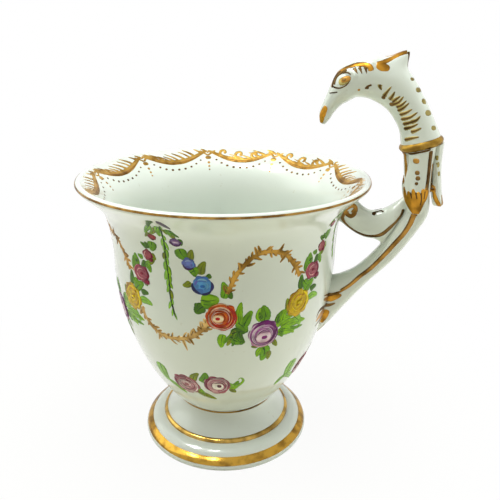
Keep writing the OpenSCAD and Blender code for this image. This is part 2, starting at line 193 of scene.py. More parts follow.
step_top = xy(STEP_R - STEP_W / 2, STEP_Z + STEP_W / 2)
step_low = xy(STEP_R + STEP_W / 2, STEP_Z - STEP_W / 2)
edge_top = xy(BASE_R - EDGE_W, EDGE_Z)
edge_low = xy(BASE_R - HEEL_R, EDGE_Z - EDGE_FALL)
heel_low = xy(BASE_R - HEEL_R, 0)
waist_low = xy(WAIST_R - WAIST_LINE_H / 4, WAIST_Z - WAIST_LINE_H)
foot_waist = [waist, waist_low]
hollow = xy(step_top[0] - waist_low[0], waist_low[1] - step_top[1])
foot_hollow = curve(waist_low, waist_low - hollow * xy(*HOLLOW_TOP),
                    step_top + hollow * xy(*HOLLOW_LOW), step_top)
foot_step = curve(step_top, step_top + xy(STEP_W / 2, 0), step_low + xy(0, STEP_W / 2), step_low)
cushion_w = edge_top[0] - step_low[0]
foot_cushion = curve(step_low, step_low + xy(cushion_w * CUSHION_TOP, 0),
                     edge_top + cushion_w * xy(*CUSHION_LOW), edge_top)
foot_edge = curve(edge_top, edge_top + xy(EDGE_W, -EDGE_FALL) * EDGE_TOP,
                  edge_low + xy(EDGE_W, EDGE_FALL) * xy(*EDGE_LOW), edge_low)
foot_heel = curve(edge_low, edge_low + xy(HEEL_R, -HEEL_R), heel_low + xy(HEEL_R, HEEL_R), heel_low)
recess_r = BASE_R - HEEL_R - FOOT_RING_W
foot_recess = curve((recess_r, 0), xy(recess_r, RECESS_H) * xy(*RECESS_LOW),
                    (recess_r * RECESS_TOP, RECESS_H), (0, RECESS_H))


# Making pieces

def placed(name, data):
    """A new object in the scene that holds the data."""
    made = bpy.data.objects.new(name, data)
    bpy.context.scene.collection.objects.link(made)
    return made


def new_piece(name, points, faces, look, crisp=CRISP):
    """A closed mesh piece from points in millimetres, with smooth shading and faces turned outwards."""
    mesh = bpy.data.meshes.new(name)
    mesh.from_pydata([tuple(p) for p in np.asarray(points, float) * MM], [], faces)
    shape = bmesh.new()
    shape.from_mesh(mesh)
    bmesh.ops.remove_doubles(shape, verts=shape.verts, dist=SAME_POINT * MM)
    bmesh.ops.recalc_face_normals(shape, faces=shape.faces)
    shape.to_mesh(mesh)
    shape.free()
    mesh.shade_smooth()
    mesh.set_sharp_from_angle(angle=math.radians(crisp))
    mesh.materials.append(look)
    return placed(name, mesh)


def adopt(piece, slot, *nodes):
    """The piece rides on the one rigid body and stands for its CAD nodes, which it hides. slot is not used.
    """
    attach(piece, "root")
    if nodes:
        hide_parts(*nodes)
    return piece


def turned(name, profile, look):
    """Body of revolution. An open profile starts and ends on the axis; a closed one goes round a band."""
    profile = np.array(profile)
    steps = np.linalg.norm(np.diff(profile, axis=0), axis=1)
    keep = [0] + [i + 1 for i, step in enumerate(steps) if step > SAME_POINT]
    profile = profile[keep]
    angles = np.arange(TURNS) * 2 * math.pi / TURNS
    points, rings = [], []
    for r, z in profile:
        if r < SAME_POINT:
            rings.append([len(points)] * TURNS)
            points.append((0, 0, z))
        else:
            rings.append(list(range(len(points), len(points) + TURNS)))
            points += [(r * math.cos(a), r * math.sin(a), z) for a in angles]
    closed = profile[0][0] > SAME_POINT
    faces = []
    for k in range(len(rings) - (0 if closed else 1)):
        low, high = rings[k], rings[(k + 1) % len(rings)]
        for i in range(TURNS):
            j = (i + 1) % TURNS
            face = [low[i], low[j], high[j], high[i]]
            faces.append(list(dict.fromkeys(face)))
    return new_piece(name, points, faces, look)


def skinned(name, rings, look, crisp=CRISP):
    """Closed skin through rings of equal count."""
    count = len(rings[0])
    faces = []
    for k in range(len(rings) - 1):
        a, b = k * count, (k + 1) * count
        for i in range(count):
            j = (i + 1) % count
            faces.append([a + i, a + j, b + j, b + i])
    faces.append(list(range(count))[::-1])
    faces.append([(len(rings) - 1) * count + i for i in range(count)])
    return new_piece(name, np.concatenate(rings), faces, look, crisp)


# Handle members: rings that run from an inner to an outer edge, in the plane y = 0

def bulge(v):
    return np.sign(v) * np.abs(v) ** (2 / ROUND_SECTION)


ring_turns = np.arange(SIDES) * 2 * math.pi / SIDES


def ring(inner, outer, half_d):
    share = 0.5 + bulge(np.cos(ring_turns))[:, None] / 2
    p = mix(np.asarray(inner), np.asarray(outer), share)
    return np.column_stack([p[:, 0], half_d * bulge(np.sin(ring_turns)), p[:, 1]])


def tilted(mid, tilt, w, d):
    arm = xy(math.cos(math.radians(tilt)), math.sin(math.radians(tilt))) * w / 2
    return np.concatenate([mid - arm, mid + arm, [d / 2]])


def wall_r(z):
    return np.interp(z, bowl_out[:, 1], bowl_out[:, 0])


def seated(last, mid_z, h, d):
    """Rings that flare from a member's last ring on to the bowl's wall and close inside it."""
    y, z = d / 2 * bulge(np.sin(ring_turns)), mid_z - h / 2 * bulge(np.cos(ring_turns))
    wall = np.column_stack([np.sqrt((wall_r(z) - SEAT_SINK) ** 2 - y * y), y, z])
    under = (0.5 + 0.5 * bulge(np.cos(ring_turns)))[:, None]
    rings = []
    for t in np.linspace(0, 1, SEAT_RINGS)[1:]:
        near = mix(mix(t, 1 - (1 - t) ** 2, SEAT_HOLLOW), mix(t, t ** 3, SEAT_FULL), under)
        fall = mix(t, mix(t, 1 - (1 - t) ** 2, SEAT_FULL), under)
        share = np.column_stack([near, np.full_like(near, t), fall])
        rings.append(last + (wall - last) * share)
    sunk = wall - np.array([2 * SEAT_SINK, 0, 0])
    return rings + [sunk.mean(0) + (sunk - sunk.mean(0)) * size for size in SEAT_CLOSING]


def hump(at, mid, r):
    return np.exp(-(np.linalg.norm(at - mid, axis=-1) / r) ** 2)


lean = math.radians(COLLAR_LEAN)
collar_mid = xy(BELLY_R + COLLAR_OUT, RIM_Z + COLLAR_UP)
collar_axis = xy(-math.sin(lean), math.cos(lean))
collar_line = xy(math.cos(lean), math.sin(lean))
collar_low = collar_mid - collar_axis * COLLAR_H / 2
collar_top = collar_mid + collar_axis * COLLAR_H / 2


def leaf_thick(u, v):
    return LEAF_T * mix(1, LEAF_EDGE, u * u) * mix(1, LEAF_TIP, v ** 4)


OUTER_LEAF_LIFT = leaf_thick((90 - OUTER_LEAF_WRAP) / SIDE_LEAF_WRAP, 0) + SEAT_GAP
knee = xy(BELLY_R + STEM_REACH, RIM_Z - KNEE_DROP)
seat_mid = xy(BELLY_R, RIM_Z - STEM_SEAT_DROP)


def stem_at(out, up):
    return mix(seat_mid, knee, xy(out, up))


# The stem's sections from the collar down to the seat: middle, tilt in degrees, width and depth
stem_stations = [
    tilted(collar_low, COLLAR_LEAN, COLLAR_W - 2 * (LEAF_T + OUTER_LEAF_LIFT), COLLAR_D - 2 * LEAF_T),
    tilted(mix(collar_low, knee, 0.28), COLLAR_LEAN / 3, STEM_W, STEM_D * 1.1),
    tilted(mix(collar_low, knee, 0.64), -5, mix(STEM_W, KNEE_W, 0.4), STEM_D * 1.1),
    tilted(knee, -7, KNEE_W, STEM_D * 1.1),
    tilted(stem_at(0.9, 0.84), -9, KNEE_W, STEM_D * 1.05),
    tilted(stem_at(0.665, 0.575), -30, STEM_W, STEM_D),
    tilted(stem_at(0.38, 0.35), -52, STEM_W, STEM_D),
    tilted(stem_at(0.125, 0.17), -82, mix(STEM_W, STEM_SEAT_H, 0.34), mix(STEM_D, STEM_SEAT_D, 0.6))]


def stem_ring_at(t):
    s = path(stem_stations, t)
    return s[:2], s[2:4], s[4]


def make_stem(look):
    rings = [ring(*stem_ring_at(t)) for t in np.linspace(0, 1, STEM_RINGS)]
    return skinned("stem", rings + seated(rings[-1], seat_mid[1], STEM_SEAT_H, STEM_SEAT_D), look)


scroll_low = xy(BELLY_R + SCROLL_OUT, RIM_Z - SCROLL_DROP)
scroll_dip = scroll_low + xy(-SCROLL_DIP_IN, SCROLL_W)
scroll_seat_z = RIM_Z - SCROLL_SEAT_DROP
scroll_seat_top = xy(wall_r(scroll_seat_z + SCROLL_SEAT_H / 2), scroll_seat_z + SCROLL_SEAT_H / 2)
scroll_seat_low = xy(wall_r(scroll_seat_z - SCROLL_SEAT_H / 2), scroll_seat_z - SCROLL_SEAT_H / 2)


def fork_edge(t):
    return stem_ring_at(t)[0] + xy(FORK_SINK, 0)


def settle(a, b, t):
    return xy(mix(a[0], b[0], t), mix(a[1], b[1], math.sin(math.pi / 2 * t)))


def lift(a, b, t):
    return xy(mix(a[0], b[0], t), mix(a[1], b[1], 1 - math.cos(math.pi / 2 * t)))


def scroll_upper(t):
    if t < SCROLL_LOWEST:
        return settle(fork_edge(SCROLL_FROM), scroll_dip, t / SCROLL_LOWEST)
    return lift(scroll_dip, scroll_seat_top, (t - SCROLL_LOWEST) / (1 - SCROLL_LOWEST))


def scroll_lower(t):
    if t < SCROLL_LEAVES:
        return fork_edge(mix(SCROLL_FROM + SCROLL_LOWER_BY, SCROLL_FORK, t / SCROLL_LEAVES))
    if t < SCROLL_LOWEST:
        share = (t - SCROLL_LEAVES) / (SCROLL_LOWEST - SCROLL_LEAVES)
        return settle(fork_edge(SCROLL_FORK), scroll_low, share)
    return lift(scroll_low, scroll_seat_low, (t - SCROLL_LOWEST) / (1 - SCROLL_LOWEST))


volute_mid = mix((scroll_seat_top + scroll_seat_low) / 2, (scroll_dip + scroll_low) / 2, VOLUTE_AT)


def scroll_depth(t):
    return SCROLL_D * mix(SCROLL_ROOT_D, 1, 0.5 - 0.5 * math.cos(math.pi * min(1, t / SCROLL_FULL)))


def make_scroll(look):
    rings = []
    for t in np.linspace(0, SCROLL_SEAT_FROM, SCROLL_RINGS):
        points = ring(scroll_upper(t), scroll_lower(t), scroll_depth(t) / 2)
        points[:, 1] += np.sign(points[:, 1]) * VOLUTE_H * hump(points[:, [0, 2]], volute_mid, VOLUTE_R)
        rings.append(points)
    return skinned("scroll", rings + seated(rings[-1], scroll_seat_z, SCROLL_SEAT_H, SCROLL_D), look)


def swung(way, a):
    return xy(way[0] * math.cos(a) - way[1] * math.sin(a), way[0] * math.sin(a) + way[1] * math.cos(a))


def make_slip_bead(look):
    """A bent bar in the crotch, where the scroll's lower edge comes out of the stem's inner edge."""
    edge = np.array([stem_ring_at(t)[0] for t in np.linspace(*SLIP_ON_STEM, SLIP_SEARCH)])
    low = np.array([scroll_lower(t) for t in np.linspace(*SLIP_ON_SCROLL, SLIP_SEARCH)])
    out_at = int(np.argmax(low[:, 0] < np.interp(low[:, 1], edge[::-1, 1], edge[::-1, 0])))
    corner, along_scroll = low[out_at], unit(low[out_at + SCROLL_AHEAD] - low[out_at])
    nearest = int(np.argmin(np.linalg.norm(edge - corner, axis=1)))
    down_stem = unit(edge[nearest + STEM_AHEAD] - edge[nearest])
    half = math.acos(np.dot(down_stem, along_scroll)) / 2
    middle = corner + unit(down_stem + along_scroll) * SLIP_R / math.sin(half)
    to_corner = unit(corner - middle)
    rings = []
    for a in np.linspace(half - math.pi / 2, math.pi / 2 - half, SLIP_RINGS):
        out = swung(to_corner, a)
        at = middle + out * (SLIP_R + SLIP_BEAD_R)
        across = at - out * (SLIP_BEAD_R * np.cos(ring_turns))[:, None]
        rings.append(np.column_stack([across[:, 0], SLIP_BEAD_R * np.sin(ring_turns), across[:, 1]]))
    return skinned("slip_bead", rings, look)


# The knee is the fourth of the stem's sections
stem_len = np.linalg.norm(knee - collar_low) / (3 / (len(stem_stations) - 1))


def leaf_width(v):
    return math.sqrt(max(0, 1 - v ** LEAF_BLUNT)) * (1 - LEAF_DRAWN_IN * math.sin(math.pi * v))


def leaf_point(side, length, wrap, turn, u, v, proud):
    inner, outer, half_d = stem_ring_at(v * length / stem_len)
    a = math.radians(side + turn * v * v + u * wrap * leaf_width(v))
    p = mix(inner, outer, 0.5 + bulge(math.cos(a)) / 2)
    p = np.array([p[0], half_d * bulge(math.sin(a)), p[1]])
    m = mix(inner, outer, 0.5)
    return p + unit(p - np.array([m[0], 0, m[1]])) * proud


def make_leaf(name, look, side, length, wrap, turn=0.0, rise=0.0, curl=0.0):
    """A leaf on the stem: turn swings its tip and flares that edge, curl swells the tip, solid behind."""
    rings = []
    across = np.sin(np.linspace(-1, 1, 2 * LEAF_ACROSS + 1) * math.pi / 2)
    for k in range(LEAF_ALONG + 1):
        v = LEAF_END * math.sin(math.pi / 2 * k / LEAF_ALONG) ** LEAF_CROWDING
        tip = max(0, v / LEAF_END - LEAF_ROUND_FROM)
        swell = rise + (SEAT_GAP + curl * v ** 3) * math.sqrt(1 - tip ** 2 * LEAF_ROUND)
        flare = SIDE_LEAF_FLARE * math.sin(math.pi * v ** SIDE_LEAF_FLARE_AT) ** 2
        face = [swell + leaf_thick(u, v) + flare * max(0, u * np.sign(turn)) ** 2 for u in across]
        rings.append(np.array(
            [leaf_point(side, length, wrap, turn, u, v, proud) for u, proud in zip(across, face)]
            + [leaf_point(side, length, wrap, turn, u, v, rise - LEAF_SINK) for u in across[::-1]]))
    return skinned(name, rings, look, LEAF_CRISP)


def make_collar(look):
    rings = []
    for t in np.linspace(0, 1, COLLAR_RINGS):
        mid = mix(collar_low, collar_top, t)
        swell = 1 - COLLAR_SWELL + COLLAR_SWELL * math.sin(math.pi * t)
        arm = collar_line * swell * COLLAR_W / 2
        rings.append(ring(mid - arm, mid + arm, swell * COLLAR_D / 2))
    return skinned("collar", rings, look)


def bird_at(reach, rise):
    return collar_top + xy(-reach * BIRD_REACH, rise * BIRD_RISE)


# The bird's sections from the collar to the beak: middle, tilt in degrees, height and depth
bird_stations = [
    tilted(collar_top, COLLAR_LEAN, NECK_W * 1.08, NECK_D * 1.08),
    tilted(bird_at(0.05, 0.24), 9, NECK_W, NECK_D),
    tilted(bird_at(0.18, 0.59), 18, NECK_W * 1.04, NECK_D),
    tilted(bird_at(0.36, 0.89), 38, HEAD_H * 1.03, mix(NECK_D, HEAD_D, 0.7)),
    tilted(bird_at(0.534, 1.007), 57, HEAD_H * 1.05, HEAD_D),
    tilted(bird_at(0.625, 1.016), 69, HEAD_H * 1.06, HEAD_D),
    tilted(bird_at(0.754, 0.93), 87, HEAD_H * 0.91, HEAD_D * 0.92),
    tilted(bird_at(0.845, 0.82), 100, HEAD_H * 0.76, HEAD_D * 0.78),
    tilted(bird_at(0.93, 0.555), 121, BEAK_W * 1.06, BEAK_W),
    tilted(bird_at(0.98, 0.36), 146, BEAK_W * 0.74, BEAK_W * 0.7),
    tilted(bird_at(0.997, 0.24), 160, BEAK_W * 0.38, BEAK_W * 0.4)]
eye_mid = bird_at(*EYE_AT)
brow_r = BROW_OUT * EYE_R
brow_arc = [eye_mid + brow_r * xy(-math.cos(a), math.sin(a)) for a in np.radians(BROW_TURNS)]


def bird_ring(t):
    s = path(bird_stations, t)
    mid, outer = (s[:2] + s[2:4]) / 2, s[2:4]
    arm = outer - mid
    c, n = bulge(np.cos(ring_turns)), bulge(np.sin(ring_turns))
    slope = CREST_NAPE if t < CREST_AT else CREST_CROWN
    rise = CREST_H * math.exp(-(abs(t - CREST_AT) / slope) ** CREST_POINT)
    tuft = rise * np.maximum(0, c) ** 3
    p = mid + c[:, None] * arm + tuft[:, None] * unit(arm)
    brow = np.max([hump(p, b, EYE_R / 2) for b in brow_arc], axis=0)
    relief = EYE_H * np.maximum(hump(p, eye_mid, EYE_R), brow)
    return np.column_stack([p[:, 0], n * (s[4] * (1 - tuft / CREST_H / 2) + relief), p[:, 1]])


def make_bird(look):
    rings = [bird_ring(t) for t in np.linspace(0, 1, BIRD_RINGS)]
    tip = rings[-1]
    middle, way = tip.mean(0), unit(tip.mean(0) - rings[-2].mean(0))
    for a in np.radians(BEAK_CLOSING):
        rings.append(middle + (tip - middle) * math.cos(a) + way * BEAK_TIP * math.sin(a))
    return skinned("bird", rings, look)


# Materials: an expression on fields adds its Math nodes

class Field:
    """A node's output that changes over a surface, with arithmetic."""

    def __init__(self, graph, socket):
        self.graph, self.socket = graph, socket

    def maths(self, operation, first, second):
        return self.graph.node("ShaderNodeMath", {"operation": operation}, {0: first, 1: second})

    def __add__(self, other):
        return self.maths("ADD", self, other)

    def __sub__(self, other):
        return self.maths("SUBTRACT", self, other)

    def __rsub__(self, other):
        return self.maths("SUBTRACT", other, self)

    def __mul__(self, other):
        return self.maths("MULTIPLY", self, other)

    __radd__, __rmul__ = __add__, __mul__

    def between(self, low, high, to_low=0.0, to_high=1.0):
        """Eased from to_low at low up to to_high at high."""
        sockets = {"Value": self, "From Min": low, "From Max": high, "To Min": to_low, "To Max": to_high}
        return self.graph.node("ShaderNodeMapRange", {"interpolation_type": "SMOOTHSTEP"}, sockets)


class Graph:
    """A node tree that is being made."""

    def __init__(self, tree):
        self.tree = tree

    def node(self, kind, settings=None, inputs=None, out=0):
        made = self.tree.nodes.new(kind)
        for key, value in (settings or {}).items():
            setattr(made, key, value)
        for key, value in (inputs or {}).items():
            if isinstance(value, Field):
                self.tree.links.new(value.socket, made.inputs[key])
            else:
                made.inputs[key].default_value = value
        return Field(self, made.outputs[out])

    def parts_of(self, vector):
        """A vector's three numbers, by the names X, Y and Z."""
        split = self.node("ShaderNodeSeparateXYZ", None, {0: vector}).socket.node
        return {s.name: Field(self, s) for s in split.outputs}

    def tint(self, a, b, share):
        return self.node("ShaderNodeMix", {"data_type": "RGBA"}, {0: share, 6: a, 7: b}, out=2)

    def noise(self, place, scale, detail=2.0, stretch=None):
        if stretch:
            place = self.node("ShaderNodeMapping", None, {"Vector": place, "Scale": stretch})
        return self.node("ShaderNodeTexNoise", None, {"Vector": place, "Scale": scale, "Detail": detail})


class Look(Graph):
    """A material whose surface is one Principled shader."""

    def __init__(self, name, **fixed):
        self.material = bpy.data.materials.new(name)
        self.material.use_nodes = True
        super().__init__(self.material.node_tree)
        self.shader = self.tree.nodes["Principled BSDF"]
        for key, value in fixed.items():
            self.shader.inputs[key.replace("_", " ")].default_value = value
        self.place = self.node("ShaderNodeTexCoord", out="Object")

    def feed(self, **fields):
        for key, value in fields.items():
            self.tree.links.new(value.socket, self.shader.inputs[key.replace("_", " ")])

    def bump(self, height, strength, distance):
        return self.node("ShaderNodeBump", None,
                         {"Height": height, "Strength": strength, "Distance": distance})


def srgb(r, g, b):
    """Linear colour of a paint chip given in 0 to 255."""
    parts = [c / 255 for c in (r, g, b)]
    return tuple(c / 12.92 if c <= 0.04045 else ((c + 0.055) / 1.055) ** 2.4 for c in parts) + (1.0,)


GLAZE, COOL_GLAZE, GLAZE_SPECK = srgb(228, 233, 225), srgb(222, 229, 223), srgb(186, 178, 150)


def porcelain_look():
    """Clear glaze over a white body: clouded, a little wavy, with a few faint specks."""
    look = Look("glazed porcelain", Coat_Weight=0.6, Coat_Roughness=0.03, IOR=1.5)
    cloud = look.noise(look.place, scale=38, detail=3)
    speck = look.noise(look.place, scale=900, detail=1).between(0.73, 0.78)
    wave = look.noise(look.place, scale=85, detail=1)
    look.feed(Base_Color=look.tint(look.tint(GLAZE, COOL_GLAZE, cloud), GLAZE_SPECK, speck * 0.2),
              Roughness=look.noise(look.place, scale=120).between(0.3, 0.7, to_low=0.16, to_high=0.26),
              Normal=look.bump(wave, strength=0.06, distance=0.0004))
    return look.material


def gold_look(name, pale, deep, rough):
    """Fired gold, mottled and a little rubbed."""
    look = Look(name, Metallic=1.0)
    mottle = look.noise(look.place, scale=260, detail=3)
    rub = look.noise(look.place, scale=1500, detail=2)
    look.feed(Base_Color=look.tint(deep, pale, mottle.between(0.32, 0.62)),
              Roughness=mottle.between(0.3, 0.7, to_low=rough + 0.08, to_high=rough) + rub * 0.05,
              Normal=look.bump(rub, strength=0.12, distance=0.0001))
    return look.material


def enamel_look(name, rough=0.24):
    """Overglaze enamel: its colour is brushed on as the piece's own attribute, with uneven washes."""
    look = Look(name, Coat_Weight=0.06, Coat_Roughness=0.08, Specular_IOR_Level=0.22)
    paint = look.node("ShaderNodeAttribute", {"attribute_name": "paint"}, out="Color")
    wash = look.noise(look.place, scale=700, detail=3)
    depth = wash.between(0.3, 0.7, to_low=0.74, to_high=1.1)
    shade = look.node("ShaderNodeHueSaturation", None, {"Color": paint, "Saturation": 1.12, "Value": depth})
    look.feed(Base_Color=shade, Roughness=wash.between(0.3, 0.7, to_low=rough + 0.12, to_high=rough),
              Normal=look.bump(wash, strength=0.1, distance=0.0001))
    return look.material


# Painting: every mark is a brush stroke, a low closed shell that follows its canvas

def profile_line(name, profile):
    """A wall's profile as a curve in the plane y = 0, for the painting tree to sample."""
    data = bpy.data.curves.new(name, "CURVE")
    data.dimensions = "3D"
    spline = data.splines.new("POLY")
    spline.points.add(len(profile) - 1)
    for point, (r, z) in zip(spline.points, profile):
        point.co = (r * MM, 0, z * MM, 1)
    return placed(name, data)


def heading(line, i):
    """Way that a line of points runs at point i."""
    return line[min(i + 1, len(line) - 1)] - line[max(i - 1, 0)]


class Wall:
    """A turned wall laid flat: turn in radians across, climb along the profile in millimetres up."""

    def __init__(self, name, profile):
        self.profile, self.line = np.array(profile), profile_line(name, profile)
        self.climb = np.concatenate([[0], np.cumsum(np.linalg.norm(np.diff(self.profile, axis=0), axis=1))])

    def radius(self, climb):
        return np.interp(climb, self.climb, self.profile[:, 0])

    def spot(self, turn, height):
        return np.array([math.radians(turn), np.interp(height, self.profile[:, 1], self.climb)])

    def scale(self, spot):
        """Millimetres on the wall for one unit of turn and of climb."""
        return np.array([self.radius(spot[1]), 1.0])

    def shift(self, spot, right, up):
        return spot + np.array([right / self.radius(spot[1]), up])

    def lay(self, points, widths, lanes):
        rows = []
        last = len(widths) - 1
        line = [path(points, i / last) for i in range(last + 1)]
        for i, p in enumerate(line):
            scale = self.scale(p)
            way = unit(heading(line, i) * scale)
            side = np.array([way[1], -way[0]]) / scale
            at = [p + side * c * widths[i] / 2 for c in lanes]
            rows.append([(Vector((q[0], q[1] * MM, 0)), Vector((0, 0, 1))) for q in at])
        return rows


# Marks on the handle, in metres: where rays from its side and from above start, and how far out the nearest
# skin is looked for where a ray passes the handle by
RAY_SIDE, RAY_TOP, LOOK_OUT = 0.05, 0.2, 0.002


class Skin:
    """The outer surface of finished pieces, with marks placed by their side view: x and height."""

    def __init__(self, pieces):
        points, faces = [], []
        for piece in pieces:
            first = len(points)
            points += [v.co.copy() for v in piece.data.vertices]
            faces += [[first + i for i in f.vertices] for f in piece.data.polygons]
        self.tree = BVHTree.FromPolygons(points, faces)

    def spot(self, x, z, side):
        at = self.tree.ray_cast(Vector((x * MM, side * RAY_SIDE, z * MM)), Vector((0, -side, 0)))[0]
        if at is None:
            at = self.tree.find_nearest(Vector((x * MM, side * LOOK_OUT, z * MM)))[0]
        return np.array(at)

    def top(self, x):
        """Point of the upper ridge at x."""
        return np.array(self.tree.ray_cast(Vector((x * MM, 0, RAY_TOP)), Vector((0, 0, -1)))[0])

    def lay(self, points, widths, lanes):
        rows = []
        last = len(widths) - 1
        line = [np.array(self.tree.find_nearest(Vector(path(points, i / last)))[0]) for i in range(last + 1)]
        for i, p in enumerate(line):
            normal = self.tree.find_nearest(Vector(p))[1]
            way = Vector(unit(heading(line, i)))
            side = way.cross(normal).normalized()
            at = [Vector(p) + side * (c * widths[i] / 2 * MM) for c in lanes]
            rows.append([self.tree.find_nearest(q)[:2] for q in at])
        return rows


# How a stroke's width runs along it, from 0 at its start to 1 at its end

def round_ends(t, speed):
    return min(1.0, math.sqrt(max(0.0, min(t, 1 - t)) * speed))


def leaf_shape(t):
    return math.sin(math.pi * min(1, t * 0.97 + 0.02) ** 0.75) ** 0.8


def round_shape(t):
    return math.sqrt(max(0.0, 1 - (2 * t - 1) ** 2))


def line_shape(t):
    return round_ends(t, 12)


def blunt_shape(t):
    return round_ends(t, 40)


def twig_shape(t):
    return round_ends(t, 50) * (0.88 + 0.12 * math.sin(40 * t))


def comma_shape(t):
    return min(1.0, math.sqrt(t * 8)) * (1 - t) ** 0.8


def feather_shape(t):
    return min(1.0, math.sqrt(t * 6)) * (1 - t) ** 0.55


def flame_shape(t):
    return min(1.0, 3 * t + 0.12) ** 0.8 * (1 - 0.5 * t)


def wedge_shape(t):
    return 1 - 0.6 * t ** 1.3


def arc_shape(t):
    return math.sin(math.pi * t) ** 0.7


# Heights in millimetres: a stroke's crown, how far its edges sink, and the step from a layer to the next
STROKE_CROWN, STROKE_SINK, LAYER_STEP = 0.03, 0.02, 0.035
# A stroke's least width as a share, and how much paint the brush holds, from thin to full
STROKE_LEAST, BRUSH_LOAD = 0.05, (0.9, 1.08)
# Gold strokes carry one plain colour: their look is the gold's own
GILT = srgb(160, 110, 40)


class Enamel:
    """Strokes of one paint, gathered into one mesh with the colour as an attribute."""

    def __init__(self, canvas):
        self.canvas, self.points, self.faces, self.colours = canvas, [], [], []

    def stroke(self, points, width, shape, core=GILT, edge=None, layer=0, steps=9, lanes=5):
        """A brush stroke. core and edge are its colours; each layer lies over the one below."""
        edge = core if edge is None else edge
        shares = np.linspace(0, 1, steps)
        widths = [max(STROKE_LEAST, shape(t)) * width for t in shares]
        places = np.linspace(-1, 1, lanes)
        rows = self.canvas.lay([np.array(p, float) for p in points], widths, places)
        first = len(self.points)
        load = hand.uniform(*BRUSH_LOAD)
        for t, row in zip(shares, rows):
            for c, (at, normal) in zip(places, row):
                inside = abs(c) < 1 and 0 < t < 1
                height = layer * LAYER_STEP + (STROKE_CROWN if inside else -STROKE_SINK)
                self.points.append(at + normal * (height * MM))
                colour = mix(np.array(core), np.array(edge), c * c)
                self.colours.append(np.append(np.clip(colour[:3] * load, 0, 1), 1))
        for i in range(steps - 1):
            a, b = first + i * lanes, first + (i + 1) * lanes
            self.faces += [[a + j, a + j + 1, b + j + 1, b + j] for j in range(lanes - 1)]
            start = [a + j for j in range(lanes)] if i == 0 else [a, a + lanes - 1]
            end = [b + j for j in range(lanes)] if i == steps - 2 else [b, b + lanes - 1]
            self.faces.append(end + start[::-1])

    def dab(self, spot, rx, ry, core=GILT, edge=None, layer=0, steps=9, lanes=7):
        """A round dab on a wall, rx along its turn and ry across."""
        ends = [self.canvas.shift(spot, -rx, 0), self.canvas.shift(spot, rx, 0)]
        self.stroke(ends, 2 * ry, round_shape, core, edge, layer, steps, lanes)

    def mesh(self, name, look):
        mesh = bpy.data.meshes.new(name)
        mesh.from_pydata([tuple(p) for p in self.points], [], self.faces)
        paint = mesh.color_attributes.new("paint", "FLOAT_COLOR", "POINT")
        paint.data.foreach_set("color", np.array(self.colours, np.float32).ravel())
        mesh.shade_smooth()
        mesh.materials.append(look)
        return placed(name, mesh)


# Geometry Nodes: a flat painting wraps on to a turned wall and repeats round it

def wall_painting_tree():
    tree = bpy.data.node_groups.new("painting round a turned wall", "GeometryNodeTree")
    for name, kind in (("Painting", "Geometry"), ("Profile", "Object"), ("Repeats", "Int"),
                       ("Pitch", "Float"), ("Last Turn", "Float"), ("Look", "Material")):
        tree.interface.new_socket(name=name, in_out="INPUT", socket_type="NodeSocket" + kind)
    tree.interface.new_socket(name="Painting", in_out="OUTPUT", socket_type="NodeSocketGeometry")
    graph = Graph(tree)
    entry = tree.nodes.new("NodeGroupInput")
    given = {s.name: Field(graph, s) for s in entry.outputs if s.name}
    turn, climb, proud = graph.parts_of(graph.node("GeometryNodeInputPosition")).values()
    profile = graph.node("GeometryNodeObjectInfo", None, {"Object": given["Profile"]}, out="Geometry")
    sample = graph.node("GeometryNodeSampleCurve", {"mode": "LENGTH"},
                        {"Curves": profile, "Length": climb}).socket.node
    at = graph.parts_of(Field(graph, sample.outputs["Position"]))
    way = graph.parts_of(Field(graph, sample.outputs["Tangent"]))
    radius = at["X"] + proud * way["Z"]
    height = at["Z"] - proud * way["X"]
    cosine = graph.node("ShaderNodeMath", {"operation": "COSINE"}, {0: turn})
    sine = graph.node("ShaderNodeMath", {"operation": "SINE"}, {0: turn})
    place = graph.node("ShaderNodeCombineXYZ", None, {"X": radius * cosine, "Y": radius * sine, "Z": height})
    wrapped = graph.node("GeometryNodeSetPosition", None, {"Geometry": given["Painting"], "Position": place})
    points = graph.node("GeometryNodePoints", None, {"Count": given["Repeats"]})
    index = graph.node("GeometryNodeInputIndex")
    last = graph.node("ShaderNodeMath", {"operation": "GREATER_THAN"}, {0: index + 1.5, 1: given["Repeats"]})
    turned_by = index * given["Pitch"] + last * given["Last Turn"]
    euler = graph.node("ShaderNodeCombineXYZ", None, {"Z": turned_by})
    spin = graph.node("FunctionNodeEulerToRotation", None, {0: euler})
    copies = graph.node("GeometryNodeInstanceOnPoints", None,
                        {"Points": points, "Instance": wrapped, "Rotation": spin})
    real = graph.node("GeometryNodeRealizeInstances", None, {"Geometry": copies})
    done = graph.node("GeometryNodeSetMaterial", None, {"Geometry": real, "Material": given["Look"]})
    exit_node = tree.nodes.new("NodeGroupOutput")
    tree.links.new(done.socket, exit_node.inputs[0])
    return tree


def paint_wall(enamel, name, look, slot, repeats=1, pitch=0.0, last_turn=0.0):
    """Wraps a flat painting round its wall and keeps the result as a plain mesh piece.

    pitch is the turn between two copies in degrees, and last_turn shifts the last copy.
    """
    piece = enamel.mesh(name + "_flat", look)
    layer = piece.modifiers.new("round the wall", "NODES")
    layer.node_group = painting_tree
    values = {"Profile": enamel.canvas.line, "Repeats": repeats, "Pitch": math.radians(pitch),
              "Last Turn": math.radians(last_turn), "Look": look}
    for item in painting_tree.interface.items_tree:
        if item.in_out == "INPUT" and item.name in values:
            layer[item.identifier] = values[item.name]
    bpy.context.view_layer.update()
    mesh = bpy.data.meshes.new_from_object(piece.evaluated_get(bpy.context.evaluated_depsgraph_get()))
    mesh.name = name
    bpy.data.objects.remove(piece)
    adopt(placed(name, mesh), slot)


# Looks

